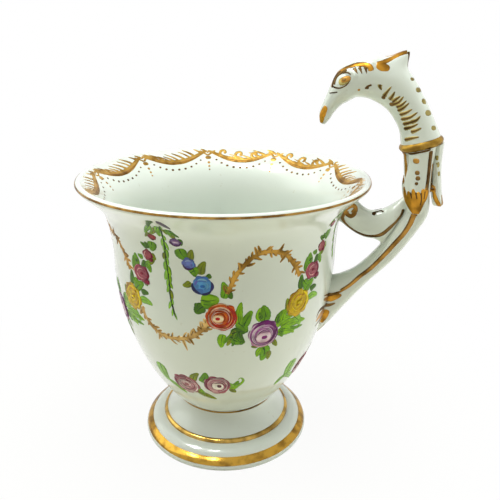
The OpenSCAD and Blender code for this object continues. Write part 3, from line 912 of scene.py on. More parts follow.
porcelain = porcelain_look()
gold = gold_look("burnished gold", srgb(184, 144, 58), srgb(122, 88, 32), 0.1)
step_gold = gold_look("pale burnished gold", srgb(190, 156, 80), srgb(128, 100, 48), 0.1)
brush_gold = gold_look("brushed gold", srgb(178, 142, 62), srgb(120, 90, 34), 0.34)
festoon_gold = gold_look("bright brushed gold", srgb(204, 162, 80), srgb(146, 108, 44), 0.3)
# A darker gold for the lip line and the waist line
lip_gold = gold_look("darker lip gold", srgb(170, 132, 68), srgb(114, 82, 40), 0.3)
dark_gold = gold_look("worn dark gold", srgb(128, 98, 54), srgb(80, 58, 28), 0.42)
deep_gold = gold_look("deep brushed gold", srgb(198, 142, 48), srgb(124, 86, 28), 0.28)
warm_gold = gold_look("warm brushed gold", srgb(186, 142, 62), srgb(122, 90, 36), 0.36)
brown_gold = gold_look("brown brushed gold", srgb(178, 132, 62), srgb(112, 80, 34), 0.34)
pale_gold = gold_look("thin pale gold", srgb(206, 172, 104), srgb(150, 116, 60), 0.36)
olive_gold = gold_look("thin olive gold", srgb(172, 158, 96), srgb(132, 118, 62), 0.4)
umber = gold_look("umber outline", srgb(98, 74, 42), srgb(62, 44, 24), 0.46)
leaf_enamel = enamel_look("leaf enamel")
flower_enamel = enamel_look("flower enamel")

# Bowl, foot and their gold bands

waist_mid = [xy(0, WAIST_Z)]
bowl_line = waist_mid + list(bowl_out) + lip_arc(-90, 90)[1:-1] + list(bowl_inside[::-1])
foot_line = (waist_mid + foot_waist + foot_hollow + foot_step + foot_cushion + foot_edge + foot_heel
             + foot_recess)
bowl = adopt(turned("bowl_body", bowl_line, porcelain), "porcelain", "bowl")
adopt(turned("foot_body", foot_line, porcelain), "porcelain", "foot")


def gilt_band(name, profile, node, look):
    outside = list(beside(profile, [GILT_T] * len(profile)))
    adopt(turned(name, list(profile) + outside[::-1], look), "gilding", node)


gilt_band("waist_line", foot_waist, "waist_gilding", lip_gold)
gilt_band("step_band", foot_step, "step_gilding", step_gold)
gilt_band("foot_band", foot_edge, "foot_edge_gilding", gold)
lip_line = turned("lip_line", lip_arc(*LIP_GILT) + lip_arc(*LIP_GILT, LIP_GILT_T)[::-1], lip_gold)
adopt(lip_line, "gilding", "rim_gilding")

# Handle

stem = adopt(make_stem(porcelain), "porcelain", "handle_stem")
scroll = adopt(make_scroll(porcelain), "porcelain", "handle_scroll")
adopt(make_slip_bead(porcelain), "porcelain")
near_leaf = make_leaf("near_leaf", porcelain, 270, SIDE_LEAF_LEN, SIDE_LEAF_WRAP, -SIDE_LEAF_TURN)
far_leaf = make_leaf("far_leaf", porcelain, 90, SIDE_LEAF_LEN, SIDE_LEAF_WRAP, SIDE_LEAF_TURN)
back_leaf = make_leaf("back_leaf", porcelain, 0, OUTER_LEAF_LEN, OUTER_LEAF_WRAP,
                      rise=OUTER_LEAF_LIFT, curl=LEAF_CURL)
throat_leaf = make_leaf("throat_leaf", porcelain, 180, INNER_LEAF_LEN, INNER_LEAF_WRAP)
for leaf, node in ((near_leaf, "leaf_near_side"), (far_leaf, "leaf_far_side"), (back_leaf, "leaf_outer"),
                   (throat_leaf, "leaf_inner")):
    adopt(leaf, "porcelain", node)
collar = adopt(make_collar(brush_gold), "gilt_porcelain", "neck_collar")
bird = adopt(make_bird(porcelain), "porcelain", "bird_head")

# Painting on the outside of the bowl: spots are a turn in degrees and a height in millimetres

outside = Wall("outside_line", bowl_out)
painting_tree = wall_painting_tree()

# A leaf's body, edge and vein
LEAF_TONES = {
    "bright": (srgb(150, 200, 52), srgb(62, 114, 20), srgb(44, 88, 16)),
    "green": (srgb(122, 174, 48), srgb(48, 92, 22), srgb(36, 74, 18)),
    "dark": (srgb(86, 128, 42), srgb(38, 68, 20), srgb(28, 48, 16)),
    "olive": (srgb(142, 154, 56), srgb(66, 82, 26), srgb(48, 62, 22)),
    "teal": (srgb(160, 206, 96), srgb(80, 142, 56), srgb(60, 110, 44)),
    "violet": (srgb(112, 104, 116), srgb(72, 66, 78), srgb(52, 48, 58)),
}
# A painted leaf is this much fuller than its listed width, and bends up to this share of its length
LEAF_FULLNESS, LEAF_BEND = 1.62, 0.14
# A leaf's tip runs on by this share of its upper half
LEAF_RUN_ON = 0.2
# A leaf's vein: its least width, its width as a share of the leaf's, and how far it runs up the upper half
VEIN_LEAST, VEIN_SHARE, VEIN_RUN = 0.26, 0.18, 0.9
# Copies of a painting: how many, the turn between two, and the last one's shift to clear the handle
GARLAND_ROUND, SPRAY_ROUND = (4, -86.3, 3.9), (4, 86.0)
LOW_TWIG_ROUND = (3, -86.3)

# Leaves: turn and height of the base, of the tip, then width and tone
GARLAND_LEAVES = (
    (-101.2, 78.2, -98.3, 75.7, 1.3, "violet"), (-103.0, 77.6, -106.0, 77.5, 1.0, "dark"),
    (-102.8, 78.0, -107.9, 75.1, 0.9, "dark"), (-105.0, 75.5, -109.2, 73.0, 1.1, "olive"),
    (-102.8, 76.1, -104.9, 72.9, 1.3, "green"), (-99.1, 75.3, -96.3, 73.2, 0.9, "dark"),
    (-96.6, 72.7, -96.0, 70.9, 1.1, "dark"), (-91.8, 65.1, -90.3, 63.5, 1.7, "bright"),
    (-85.9, 63.6, -84.0, 62.8, 1.1, "dark"), (-88.2, 55.6, -82.6, 55.6, 2.0, "green"),
    (-77.0, 59.2, -75.3, 57.3, 1.3, "dark"), (-72.8, 50.7, -68.4, 47.8, 2.2, "green"),
    (-76.9, 46.4, -70.2, 43.9, 2.2, "dark"), (-61.1, 50.7, -62.6, 52.9, 1.3, "dark"),
    (-59.4, 51.0, -58.7, 53.0, 1.3, "green"), (-53.3, 48.7, -52.9, 51.4, 1.4, "dark"),
    (-50.4, 48.9, -48.1, 52.3, 1.7, "bright"), (-51.1, 47.3, -45.7, 48.7, 2.0, "bright"),
    (-51.9, 46.6, -49.2, 44.4, 1.4, "green"), (-46.1, 50.4, -48.5, 55.0, 1.7, "olive"),
    (-39.2, 58.9, -35.1, 57.0, 2.0, "green"), (-36.5, 63.7, -34.1, 64.4, 1.1, "dark"),
    (-29.5, 63.6, -27.7, 64.9, 1.4, "teal"), (-31.4, 59.4, -29.5, 58.0, 1.1, "dark"),
    (-60.1, 42.0, -61.9, 39.1, 1.4, "bright"), (-59.6, 42.0, -57.2, 38.6, 1.4, "green"),
    (-27.1, 68.4, -27.8, 70.1, 1.3, "dark"), (-30.8, 65.6, -34.1, 65.9, 1.1, "green"),
    (-25.5, 67.3, -23.4, 65.8, 1.3, "olive"), (-38.0, 61.1, -37.6, 65.0, 1.4, "green"),
    (-100.2, 75.4, -99.2, 73.3, 1.4, "green"),
    (-99.2, 73.9, -98.3, 72.5, 1.1, "olive"), (-97.4, 70.0, -94.3, 67.3, 2.5, "green"),
    (-93.1, 66.8, -91.8, 69.8, 1.5, "olive"), (-93.4, 63.6, -89.3, 64.4, 2.5, "green"),
    (-88.5, 63.3, -86.6, 66.8, 1.7, "olive"), (-93.1, 61.3, -96.8, 60.2, 1.4, "olive"),
    (-89.2, 56.7, -81.2, 57.2, 3.4, "bright"), (-87.5, 55.2, -91.2, 53.0, 2.5, "dark"),
    (-90.1, 55.9, -91.1, 54.2, 1.4, "dark"), (-79.0, 57.2, -79.0, 61.5, 1.8, "green"),
    (-71.8, 49.3, -71.1, 55.8, 1.8, "bright"), (-69.9, 48.9, -66.5, 53.4, 2.0, "green"),
    (-75.8, 47.3, -67.9, 47.9, 2.2, "dark"), (-73.6, 48.7, -77.2, 43.8, 1.4, "olive"),
    (-79.1, 47.3, -80.1, 43.2, 1.8, "bright"), (-75.4, 46.0, -69.1, 44.5, 2.0, "green"),
    (-60.4, 49.7, -60.9, 54.4, 2.5, "green"), (-61.8, 42.7, -65.4, 42.7, 1.1, "olive"),
    (-59.1, 42.4, -59.0, 37.5, 2.5, "green"), (-56.4, 40.4, -55.5, 37.4, 1.4, "olive"),
    (-55.0, 47.6, -50.5, 52.1, 2.2, "bright"), (-52.9, 45.8, -42.4, 44.7, 2.2, "bright"),
    (-48.2, 47.3, -36.4, 47.0, 1.8, "bright"), (-54.0, 43.7, -51.6, 41.4, 1.1, "olive"),
    (-40.7, 56.6, -40.6, 60.5, 1.7, "dark"), (-38.5, 55.7, -32.4, 58.1, 2.2, "green"),
    (-34.2, 55.3, -29.5, 55.8, 1.4, "dark"), (-35.6, 53.3, -27.9, 52.9, 1.7, "teal"),
    (-43.8, 49.3, -38.7, 46.1, 2.0, "teal"), (-35.1, 62.8, -36.2, 65.9, 1.7, "green"),
    (-29.5, 64.7, -32.5, 62.6, 1.4, "dark"), (-29.6, 64.1, -27.1, 62.0, 1.4, "green"),
    (-27.8, 64.4, -24.2, 65.6, 1.1, "olive"), (-27.1, 68.5, -30.5, 69.7, 1.1, "dark"),
    (-23.9, 70.8, -25.0, 68.2, 2.2, "green"), (-19.7, 76.2, -25.3, 73.2, 1.1, "green"),
    (-20.2, 75.4, -21.7, 73.4, 0.8, "green"), (-22.8, 73.2, -26.3, 71.9, 0.8, "olive"),
    (-53.5, 49.3, -50.6, 52.1, 1.3, "green"), (-52.4, 48.6, -44.3, 49.8, 1.5, "bright"),
    (-51.6, 47.6, -35.9, 47.0, 1.5, "bright"), (-51.5, 47.1, -37.1, 45.4, 1.3, "green"),
    (-51.3, 46.5, -42.3, 44.2, 1.4, "bright"), (-51.9, 46.0, -49.0, 44.0, 1.0, "green"),
    (-72.5, 48.2, -80.1, 44.0, 1.1, "green"), (-71.9, 48.1, -74.9, 43.6, 1.2, "dark"),
    (-71.9, 48.1, -69.2, 44.3, 1.2, "dark"), (-72.3, 49.2, -71.6, 53.9, 1.2, "bright"),
    (-71.1, 48.9, -66.0, 53.1, 1.3, "green"), (-61.5, 50.1, -62.3, 53.9, 1.4, "bright"),
)

# Flowers: half width and half height, where the petals gather, colours of middle and edge, curved petals
# (start and end in degrees, share of the radius, width, colour) and dabs (right, up, half width, half height,
# colours of middle and edge)
CREAM, ROSE_DEEP, ROSE_MID = srgb(250, 222, 190), srgb(184, 48, 26), srgb(222, 108, 52)
PLUM, LILAC, LILAC_PALE = srgb(118, 46, 112), srgb(172, 104, 166), srgb(240, 222, 232)
OCHRE, YOLK, LEMON = srgb(168, 124, 34), srgb(220, 178, 38), srgb(246, 222, 84)
NAVY, SKY = srgb(44, 46, 88), srgb(160, 206, 234)
CRIMSON, WINE, PINK_PALE = srgb(132, 44, 62), srgb(106, 34, 52), srgb(226, 172, 172)
MAUVE_DEEP, MAUVE, MAUVE_PALE = srgb(138, 64, 82), srgb(184, 114, 124), srgb(246, 228, 222)
FLOWERS = {
    "red rose": dict(
        size=(3.9, 4.0), heart=(-1.0, -0.5), base=(srgb(230, 126, 66), srgb(196, 74, 34)),
        petals=((-110, 70, 0.84, 1.3, ROSE_DEEP), (60, 175, 0.84, 1.1, ROSE_MID),
                (170, 255, 0.86, 1.0, srgb(204, 78, 36)), (-75, 85, 0.6, 0.95, ROSE_DEEP),
                (75, 215, 0.6, 0.85, ROSE_MID), (-150, -60, 0.6, 0.9, ROSE_DEEP),
                (30, 150, 0.73, 0.26, CREAM), (-70, 15, 0.72, 0.22, srgb(244, 176, 132)),
                (155, 245, 0.73, 0.26, CREAM), (-120, -40, 0.76, 0.22, srgb(240, 160, 116)),
                (60, 130, 0.93, 0.25, srgb(246, 196, 156))),
        dabs=((-0.9, -0.4, 1.4, 1.15, srgb(255, 236, 208), srgb(240, 180, 130)),
              (-1.0, -0.4, 0.6, 0.5, srgb(196, 34, 34), ROSE_DEEP))),
    "purple rose": dict(
        size=(4.1, 4.2), heart=(0.1, -1.1), base=(srgb(204, 156, 196), srgb(152, 92, 146)),
        petals=((15, 150, 0.84, 1.35, PLUM), (145, 225, 0.86, 0.8, LILAC), (-65, 20, 0.86, 1.2, PLUM),
                (55, 175, 0.58, 0.9, LILAC), (-40, 60, 0.6, 0.9, srgb(140, 66, 132)),
                (85, 175, 0.72, 0.28, LILAC_PALE), (115, 215, 0.93, 0.26, LILAC_PALE),
                (95, 195, 0.46, 0.24, LILAC_PALE), (30, 80, 0.72, 0.2, srgb(214, 168, 208)),
                (205, 335, 0.93, 0.6, srgb(214, 160, 184))),
        dabs=((0, -1.1, 2.1, 1.8, LILAC_PALE, srgb(216, 164, 190)),
              (0.2, -1.1, 0.8, 0.62, srgb(142, 62, 126), PLUM))),
    "yellow rose": dict(
        size=(3.8, 4.0), heart=(0.4, 0.4), base=(srgb(238, 206, 50), srgb(204, 166, 40)),
        petals=((85, 200, 0.84, 0.9, OCHRE), (200, 285, 0.86, 0.6, YOLK),
                (60, 160, 0.52, 0.6, srgb(206, 150, 36)), (-60, 70, 0.8, 0.8, LEMON),
                (-110, 10, 0.5, 0.6, YOLK), (100, 190, 0.68, 0.25, LEMON),
                (-80, -10, 0.66, 0.22, OCHRE), (190, 260, 0.6, 0.3, LEMON)),
        dabs=((0.7, 0.9, 0.45, 0.32, OCHRE, YOLK), (-0.3, -0.5, 0.4, 0.3, OCHRE, YOLK),
              (1.5, 2.0, 0.4, 0.3, OCHRE, YOLK), (0.2, 0.2, 0.8, 0.5, LEMON, YOLK))),
    "blue rose": dict(
        size=(2.75, 2.5), base=(srgb(116, 172, 220), srgb(96, 124, 192)),
        petals=((165, 265, 0.86, 1.0, NAVY), (260, 335, 0.92, 0.75, NAVY),
                (-45, 30, 0.9, 0.8, srgb(66, 62, 112)), (125, 185, 0.62, 0.7, srgb(116, 122, 196)),
                (45, 130, 0.66, 0.5, SKY), (-50, 50, 0.5, 0.5, srgb(132, 186, 226))),
        dabs=((0.1, -0.2, 0.6, 0.45, srgb(74, 112, 180), srgb(96, 140, 200)),)),
    "blue bud": dict(
        size=(1.8, 1.75), base=(srgb(132, 146, 212), srgb(96, 98, 168)),
        petals=((185, 325, 0.84, 0.65, srgb(70, 46, 80)), (50, 150, 0.5, 0.5, srgb(170, 190, 230)),
                (-40, 40, 0.7, 0.4, srgb(110, 150, 208)))),
    "violet bud": dict(
        size=(1.65, 1.3), base=(srgb(150, 126, 172), srgb(92, 62, 106)),
        petals=((150, 395, 0.78, 0.55, srgb(76, 46, 84)),),
        dabs=((0.1, 0.1, 0.8, 0.32, srgb(206, 192, 216), LILAC),)),
    "pink rose": dict(
        size=(2.9, 2.5), base=(srgb(184, 108, 120), srgb(138, 68, 84)),
        petals=((-70, 70, 0.8, 0.85, CRIMSON), (95, 250, 0.8, 0.7, srgb(176, 84, 100)),
                (60, 180, 0.5, 0.4, PINK_PALE), (180, 300, 0.55, 0.35, PINK_PALE),
                (110, 200, 0.93, 0.24, PINK_PALE)),
        dabs=((1.9, -1.9, 1.0, 0.75, CRIMSON, WINE), (0.2, 0, 0.6, 0.4, CRIMSON, srgb(170, 80, 96)))),
    "pink bud": dict(
        size=(1.7, 1.6), base=(srgb(176, 96, 104), srgb(122, 52, 66)),
        petals=((-80, 80, 0.75, 0.6, CRIMSON), (110, 230, 0.6, 0.4, PINK_PALE)),
        dabs=((1.0, -1.2, 0.6, 0.5, CRIMSON, WINE),)),
    "red bud": dict(
        size=(1.3, 1.05), base=(srgb(164, 72, 70), srgb(106, 42, 46)),
        petals=((180, 340, 0.7, 0.4, srgb(92, 36, 42)),)),
    "ringed rose": dict(
        size=(3.9, 4.3), heart=(0.2, 0.2), base=(srgb(240, 212, 212), srgb(182, 118, 130)),
        petals=((90, 290, 0.88, 0.8, MAUVE_DEEP), (-70, 95, 0.88, 0.6, MAUVE), (60, 235, 0.6, 0.6, MAUVE),
                (235, 420, 0.58, 0.45, srgb(156, 92, 104)), (120, 260, 0.34, 0.4, MAUVE)),
        dabs=((0.1, 0, 0.75, 0.7, MAUVE, srgb(206, 150, 152)),)),
    "open rose": dict(
        size=(3.6, 4.2), heart=(0.7, 0.0), base=(srgb(234, 196, 198), srgb(176, 110, 124)),
        petals=((60, 250, 0.86, 1.0, MAUVE_DEEP), (-20, 70, 0.88, 0.8, srgb(146, 84, 96)),
                (250, 345, 0.9, 0.55, MAUVE), (80, 200, 0.58, 0.4, srgb(190, 136, 150))),
        dabs=((0.3, -0.3, 1.6, 1.7, srgb(248, 240, 234), MAUVE_PALE),
              (0.7, 0, 0.62, 0.8, srgb(88, 48, 52), MAUVE_DEEP))),
}

# A flower from the ground up: layers of its base, petals, petal lines and dabs
BASE_LAYER, PETAL_LAYER, PETAL_LINE_LAYER, DAB_LAYER = 1, 2, 3.4, 4
# Each lobe, petal and petal line lies this much of a layer over the last one
LOBE_STEP, PETAL_STEP, LINE_STEP = 0.05, 0.12, 0.03
# Its base and the lobes round it, as shares of its size
BASE_SHARE, LOBE_SHARE, LOBE_OUT = 0.86, 0.37, (0.6, 0.68)
# How unevenly lobes are set, as a share of the gap between two, and how near their tone is to the edge's
LOBE_SHIFT, LOBE_TONE = 0.2, (0.3, 1)
# Fine lines over the petals of the large roses: shares of the radius, degrees round and widths
LINED, LINES_PER_MM = ("red rose", "purple rose", "ringed rose", "open rose"), 3.6
LINE_FROM, LINE_TO, LINE_ARC, LINE_W = 0.3, 0.94, (80, 190), (0.2, 0.34)
# How unevenly these lines are set, the white in the light ones and the depth of the dark ones
LINE_SHIFT, LINE_WHITE, LINE_DEEP = 0.03, 0.5, 0.6


def paint_leaf(enamel, base, tip, width, tone):
    body, edge, vein = LEAF_TONES[tone]
    a, b = outside.spot(*base), outside.spot(*tip)
    scale = outside.scale(a)
    along = (b - a) * scale
    bend = np.array([-along[1], along[0]]) * hand.uniform(-LEAF_BEND, LEAF_BEND) / scale
    mid = (a + b) / 2 + bend
    enamel.stroke([a, mid, b + (b - mid) * LEAF_RUN_ON], width * LEAF_FULLNESS, leaf_shape, body, edge)
    enamel.stroke([a, mid, mix(mid, b, VEIN_RUN)], max(VEIN_LEAST, width * VEIN_SHARE), comma_shape, vein,
                  layer=1, steps=7, lanes=3)


def paint_leaves(enamel, leaves):
    for base_turn, base_z, tip_turn, tip_z, width, tone in leaves:
        paint_leaf(enamel, (base_turn, base_z), (tip_turn, tip_z), width, tone)


def paint_flower(enamel, kind, turn, height):
    flower = FLOWERS[kind]
    mid = outside.spot(turn, height)
    rx, ry = flower["size"]
    middle, edge = (np.array(tone) for tone in flower["base"])
    heart = np.array(flower.get("heart", (0, 0)))

    def petal_spot(share, a):
        right, up = np.array([rx * math.cos(a), ry * math.sin(a)]) * share + heart * (1 - share)
        return outside.shift(mid, right, up)

    enamel.dab(mid, rx * BASE_SHARE, ry * BASE_SHARE, middle, edge, layer=BASE_LAYER, steps=13, lanes=9)
    lobes = max(4, round(rx * 2))
    for k in range(lobes):
        a = 2 * math.pi * (k + hand.uniform(-LOBE_SHIFT, LOBE_SHIFT)) / lobes
        out = hand.uniform(*LOBE_OUT)
        lobe = outside.shift(mid, rx * out * math.cos(a), ry * out * math.sin(a))
        enamel.dab(lobe, rx * LOBE_SHARE, ry * LOBE_SHARE, mix(middle, edge, hand.uniform(*LOBE_TONE)), edge,
                   layer=BASE_LAYER + LOBE_STEP * k)
    for number, (start, end, share, width, tone) in enumerate(flower["petals"]):
        turns = np.radians(np.linspace(start, end, 7))
        enamel.stroke([petal_spot(share, a) for a in turns], width, arc_shape, tone,
                      layer=PETAL_LAYER + PETAL_STEP * number, steps=13)
    lines = round(LINES_PER_MM * rx) if kind in LINED else 0
    for number in range(lines):
        share = mix(LINE_FROM, LINE_TO, number / lines) + hand.uniform(-LINE_SHIFT, LINE_SHIFT)
        start = hand.uniform(0, 360)
        turns = np.radians(np.linspace(start, start + hand.uniform(*LINE_ARC), 9))
        tone = mix(middle, np.ones(4), LINE_WHITE) if number % 2 else edge * LINE_DEEP
        enamel.stroke([petal_spot(share, a) for a in turns], hand.uniform(*LINE_W), arc_shape, tone,
                      layer=PETAL_LINE_LAYER + LINE_STEP * number, steps=13, lanes=3)
    for number, (right, up, half_w, half_h, core, rim) in enumerate(flower.get("dabs", ())):
        enamel.dab(outside.shift(mid, right, up), half_w, half_h, core, rim, layer=DAB_LAYER + number)


def paint_flowers(name, flowers, *copies):
    enamel = Enamel(outside)
    for kind, turn, height in flowers:
        paint_flower(enamel, kind, turn, height)
    paint_wall(enamel, name, flower_enamel, None, *copies)


# A sprig: share in full leaf, width of its thread, its leaves' least and added width, reach, drop and tones
SPRIG_FULL, SPRIG_THREAD_W, SPRIG_LEAF_W, SPRIG_LEAF_MORE_W = 0.6, 0.48, 0.5, 0.85
SPRIG_REACH, SPRIG_DROP = (0.35, 1.0), (1.7, 3.0)
SPRIG_TONES = ("bright", "teal", "teal", "olive", "teal")
# How unevenly thick its leaves are, and where they start and end along the thread, counted in leaves
SPRIG_THICK, SPRIG_TOP, SPRIG_TAIL, SPRIG_TAPER = (0.6, 1.15), 0.4, 0.6, 2.5
# Layers of the thread, and of the leaves under it, which change in three steps
THREAD_LAYER, SPRIG_LEAF_LAYER, SPRIG_LEAF_STEP = 1.4, 0.4, 0.1


def paint_sprig(enamel, line, leaves, fullness=1.0):
    """A hanging thread with small leaves left and right."""
    thread, thread_edge = LEAF_TONES["dark"][1:]
    spots = [outside.spot(*p) for p in line]
    enamel.stroke(spots, SPRIG_THREAD_W, line_shape, thread, thread_edge, layer=THREAD_LAYER,
                  steps=41, lanes=3)
    for k in range(leaves):
        at = path(spots, (k + SPRIG_TOP) / (leaves + SPRIG_TAIL))
        side = 1 if k % 2 else -1
        taper = math.sin(math.pi * (k + SPRIG_TAPER) / (leaves + SPRIG_TAPER))
        thick = fullness * taper * hand.uniform(*SPRIG_THICK)
        end = outside.shift(at, side * hand.uniform(*SPRIG_REACH) * fullness, -hand.uniform(*SPRIG_DROP))
        if k > SPRIG_FULL * leaves and k % 3 == 0:
            continue
        body, edge = LEAF_TONES[SPRIG_TONES[hand.randrange(len(SPRIG_TONES))]][:2]
        enamel.stroke([at, mix(at, end, 0.5), end], SPRIG_LEAF_W + SPRIG_LEAF_MORE_W * thick, leaf_shape,
                      body, edge, layer=SPRIG_LEAF_LAYER + SPRIG_LEAF_STEP * (k % 3), steps=7)


greens = Enamel(outside)
paint_leaves(greens, GARLAND_LEAVES)
SPRIG = ((-101.6, 76.6), (-103.2, 73.5), (-103.7, 70.5), (-104.2, 66.9), (-103.8, 63.3), (-103.4, 59.9),
         (-103.2, 56.7), (-102.3, 53.5), (-101.4, 50.8))
paint_sprig(greens, SPRIG, leaves=25)
paint_wall(greens, "garland_leaves", leaf_enamel, None, *GARLAND_ROUND)

HANDLE_SPRIG = ((-16.5, 74.0), (-15.0, 70.0), (-12.0, 64.5), (-9.5, 60.5))
last_sprig = Enamel(outside)
paint_sprig(last_sprig, HANDLE_SPRIG, leaves=13, fullness=0.6)
paint_wall(last_sprig, "handle_sprig", leaf_enamel, None)

# Flowers of the garland by piece: kind, turn and height
GARLAND_FLOWERS = {
    "red_roses": (("red rose", -79.7, 52.2), ("red bud", -22.7, 72.1)),
    "purple_roses": (("purple rose", -59.7, 46.3), ("violet bud", -98.4, 71.6)),
    "pink_roses": (("pink rose", -33.2, 60.9), ("pink bud", -27.7, 66.6)),
    "yellow_roses": (("yellow rose", -41.7, 53.0),),
    "blue_roses": (("blue rose", -88.1, 60.6), ("blue bud", -93.7, 66.1)),
}
for name, flowers in GARLAND_FLOWERS.items():
    paint_flowers(name, flowers, *GARLAND_ROUND)

# Gilt twigs: a jagged band with thorns
ARCH_TWIG = ((-77.2, 58.4), (-76.0, 60.0), (-73.8, 63.0), (-70.3, 65.5), (-66.8, 67.6), (-62.0, 68.9),
             (-57.5, 68.8), (-52.5, 67.9), (-47.6, 65.6), (-43.7, 62.4), (-41.8, 60.4))
ARCH_THORNS = ((-72.8, 66.7), (-71.3, 63.8), (-69.4, 67.4), (-66.0, 70.8), (-64.6, 71.1), (-58.1, 69.8),
               (-52.6, 70.7), (-50.0, 68.1), (-41.6, 64.4), (-53.6, 65.4))
LOW_TWIG = ((-121.2, 51.4), (-119.8, 48.6), (-115.1, 45.8), (-110.4, 44.5), (-104.6, 44.3), (-98.2, 44.9),
            (-93.0, 46.2), (-89.5, 47.9), (-87.1, 49.6), (-85.5, 51.0))
LOW_THORNS = ((-113.4, 42.4), (-106.6, 45.6), (-97.3, 40.9), (-93.4, 43.2), (-91.1, 49.3), (-90.2, 45.4))
TWIG_W, TWIG_STEPS = 1.5, 60
# Layers of the band and of its small thorns, and the step where the first small thorn grows
TWIG_LAYER, THORN_LAYER, THORN_FIRST = 0.3, 0.1, 0.6
# Small thorns along a twig: ranges of width, reach, slant and step to the next, their bow, and how often
# the next one is on the other side
THORN_W, THORN_REACH, THORN_SLANT, THORN_STEP = (0.9, 1.4), (0.9, 2.0), (0.3, 1.2), (1.1, 2.3)
THORN_BOW, THORN_SWAP = 0.18, 0.85
# Dark touches at the thorns: ranges of width and of the place along and across the twig, their layer, and how
# far they run up a long and a small thorn
TOUCH_W, TOUCH_ALONG, TOUCH_ACROSS, TOUCH_LAYER = (0.3, 0.5), (-0.5, 0.3), (0.25, 0.5), 1.2
LONG_TOUCH, SMALL_TOUCH = 0.8, 0.75


def paint_twig(gilt, shade, line, thorns):
    """A jagged gilt band with thorns, and dark touches along it."""
    spots = [outside.spot(*p) for p in line]
    gilt.stroke(spots, TWIG_W, twig_shape, layer=TWIG_LAYER, steps=TWIG_STEPS)
    fine = np.array([path(spots, t) for t in np.linspace(0, 1, 2 * TWIG_STEPS)])
    for turn, height in thorns:
        tip = outside.spot(turn, height)
        scale = outside.scale(tip)
        root = fine[np.argmin(np.linalg.norm((fine - tip) * scale, axis=1))]
        gilt.stroke([root, mix(root, tip, 0.5), tip], THORN_W[1], feather_shape)
        shade.stroke([root, mix(root, tip, LONG_TOUCH)], TOUCH_W[0], arc_shape,
                     layer=TOUCH_LAYER, steps=7, lanes=3)
    along, side = THORN_FIRST, 1
    while along < TWIG_STEPS - 2:
        at, on = path(spots, along / TWIG_STEPS), path(spots, (along + 0.5) / TWIG_STEPS)
        scale = outside.scale(at)
        way = unit((on - at) * scale)
        across = side * np.array([-way[1], way[0]])
        reach = hand.uniform(*THORN_REACH)
        end = at + (way * hand.uniform(*THORN_SLANT) + across) * reach / scale
        bend = mix(at, end, 0.5) + across * THORN_BOW * reach / scale
        gilt.stroke([at, bend, end], hand.uniform(*THORN_W), feather_shape, layer=THORN_LAYER)
        touch = at + (way * hand.uniform(*TOUCH_ALONG) + across * hand.uniform(*TOUCH_ACROSS)) / scale
        shade.stroke([touch, mix(touch, end, SMALL_TOUCH)], hand.uniform(*TOUCH_W), comma_shape,
                     layer=TOUCH_LAYER, steps=7, lanes=3)
        along += hand.uniform(*THORN_STEP)
        side = -side if hand.random() < THORN_SWAP else side


# Only three low twigs are painted: the handle's seat takes the place of the fourth
for name, look, line, thorns, copies in (("arch", warm_gold, ARCH_TWIG, ARCH_THORNS, GARLAND_ROUND),
                                          ("low", pale_gold, LOW_TWIG, LOW_THORNS, LOW_TWIG_ROUND)):
    twig, twig_shade = Enamel(outside), Enamel(outside)
    paint_twig(twig, twig_shade, line, thorns)
    paint_wall(twig, name + "_twigs", look, "gilding", *copies)
    paint_wall(twig_shade, name + "_twig_shade", dark_gold, "gilding", *copies)

# Low sprays
SPRAY_LEAVES = (
    (-119.6, 33.2, -119.9, 26.3, 3.4, "teal"), (-119.8, 26.8, -108.0, 22.8, 1.7, "teal"),
    (-97.3, 25.2, -85.6, 22.1, 1.8, "olive"), (-98.3, 29.4, -94.0, 33.0, 1.8, "olive"),
    (-93.2, 29.5, -89.6, 33.5, 2.1, "green"), (-97.8, 27.2, -92.4, 24.0, 1.4, "bright"),
    (-80.4, 28.4, -73.2, 28.6, 2.2, "teal"), (-76.3, 27.5, -70.6, 28.6, 1.8, "bright"),
    (-75.0, 27.4, -71.8, 25.4, 1.3, "olive"), (-73.5, 28.6, -71.0, 30.4, 1.2, "green"),
)
SPRAY_CURL = ((-74.6, 27.7), (-70.2, 28.6), (-67.8, 30.3), (-69.5, 31.6), (-71.2, 30.7))
SPRAY_CURL_W = 1.7
sprays = Enamel(outside)
paint_leaves(sprays, SPRAY_LEAVES)
curl_line = [outside.spot(*p) for p in SPRAY_CURL]
sprays.stroke(curl_line, SPRAY_CURL_W, comma_shape, *LEAF_TONES["bright"][:2], steps=15)
paint_wall(sprays, "spray_leaves", leaf_enamel, None, *SPRAY_ROUND)
RIGHT_SPRAY_LEAVES = ((-30.5, 28.2, -37.8, 27.0, 2.0, "teal"), (-36.0, 27.3, -42.1, 24.5, 1.8, "teal"))
right_spray = Enamel(outside)
paint_leaves(right_spray, RIGHT_SPRAY_LEAVES)
paint_wall(right_spray, "right_spray_leaves", leaf_enamel, None)
SPRAY_FLOWERS = (("ringed rose", -103.8, 27.5), ("open rose", -83.7, 28.6))
paint_flowers("spray_roses", SPRAY_FLOWERS, *SPRAY_ROUND)

# Gold festoons inside the lip: turns from a festoon's middle, millimetres down from the lip
LIP_FESTOONS, FESTOON_TURN = 10, 128.75
FESTOON_PITCH = 360 / LIP_FESTOONS
FESTOON_HALF = 18.0


def both_ways(half):
    """A line that is drawn to its middle and mirrored from there."""
    return half + tuple((-turn, down) for turn, down in half[-2::-1])


FESTOON_LINE = both_ways(((-18, 1.0), (-15.5, 1.7), (-12, 3.0), (-8, 4.2), (-3.5, 4.95), (0, 5.05)))
FESTOON_DOTS = ((-13.6, 4.9, 0.36), (-10.8, 6.2, 0.4), (-7.6, 7.2, 0.42), (-3.9, 7.75, 0.44), (0, 7.85, 0.46),
                (3.9, 7.75, 0.46), (7.6, 7.2, 0.46), (10.8, 6.2, 0.44), (13.6, 4.9, 0.4))
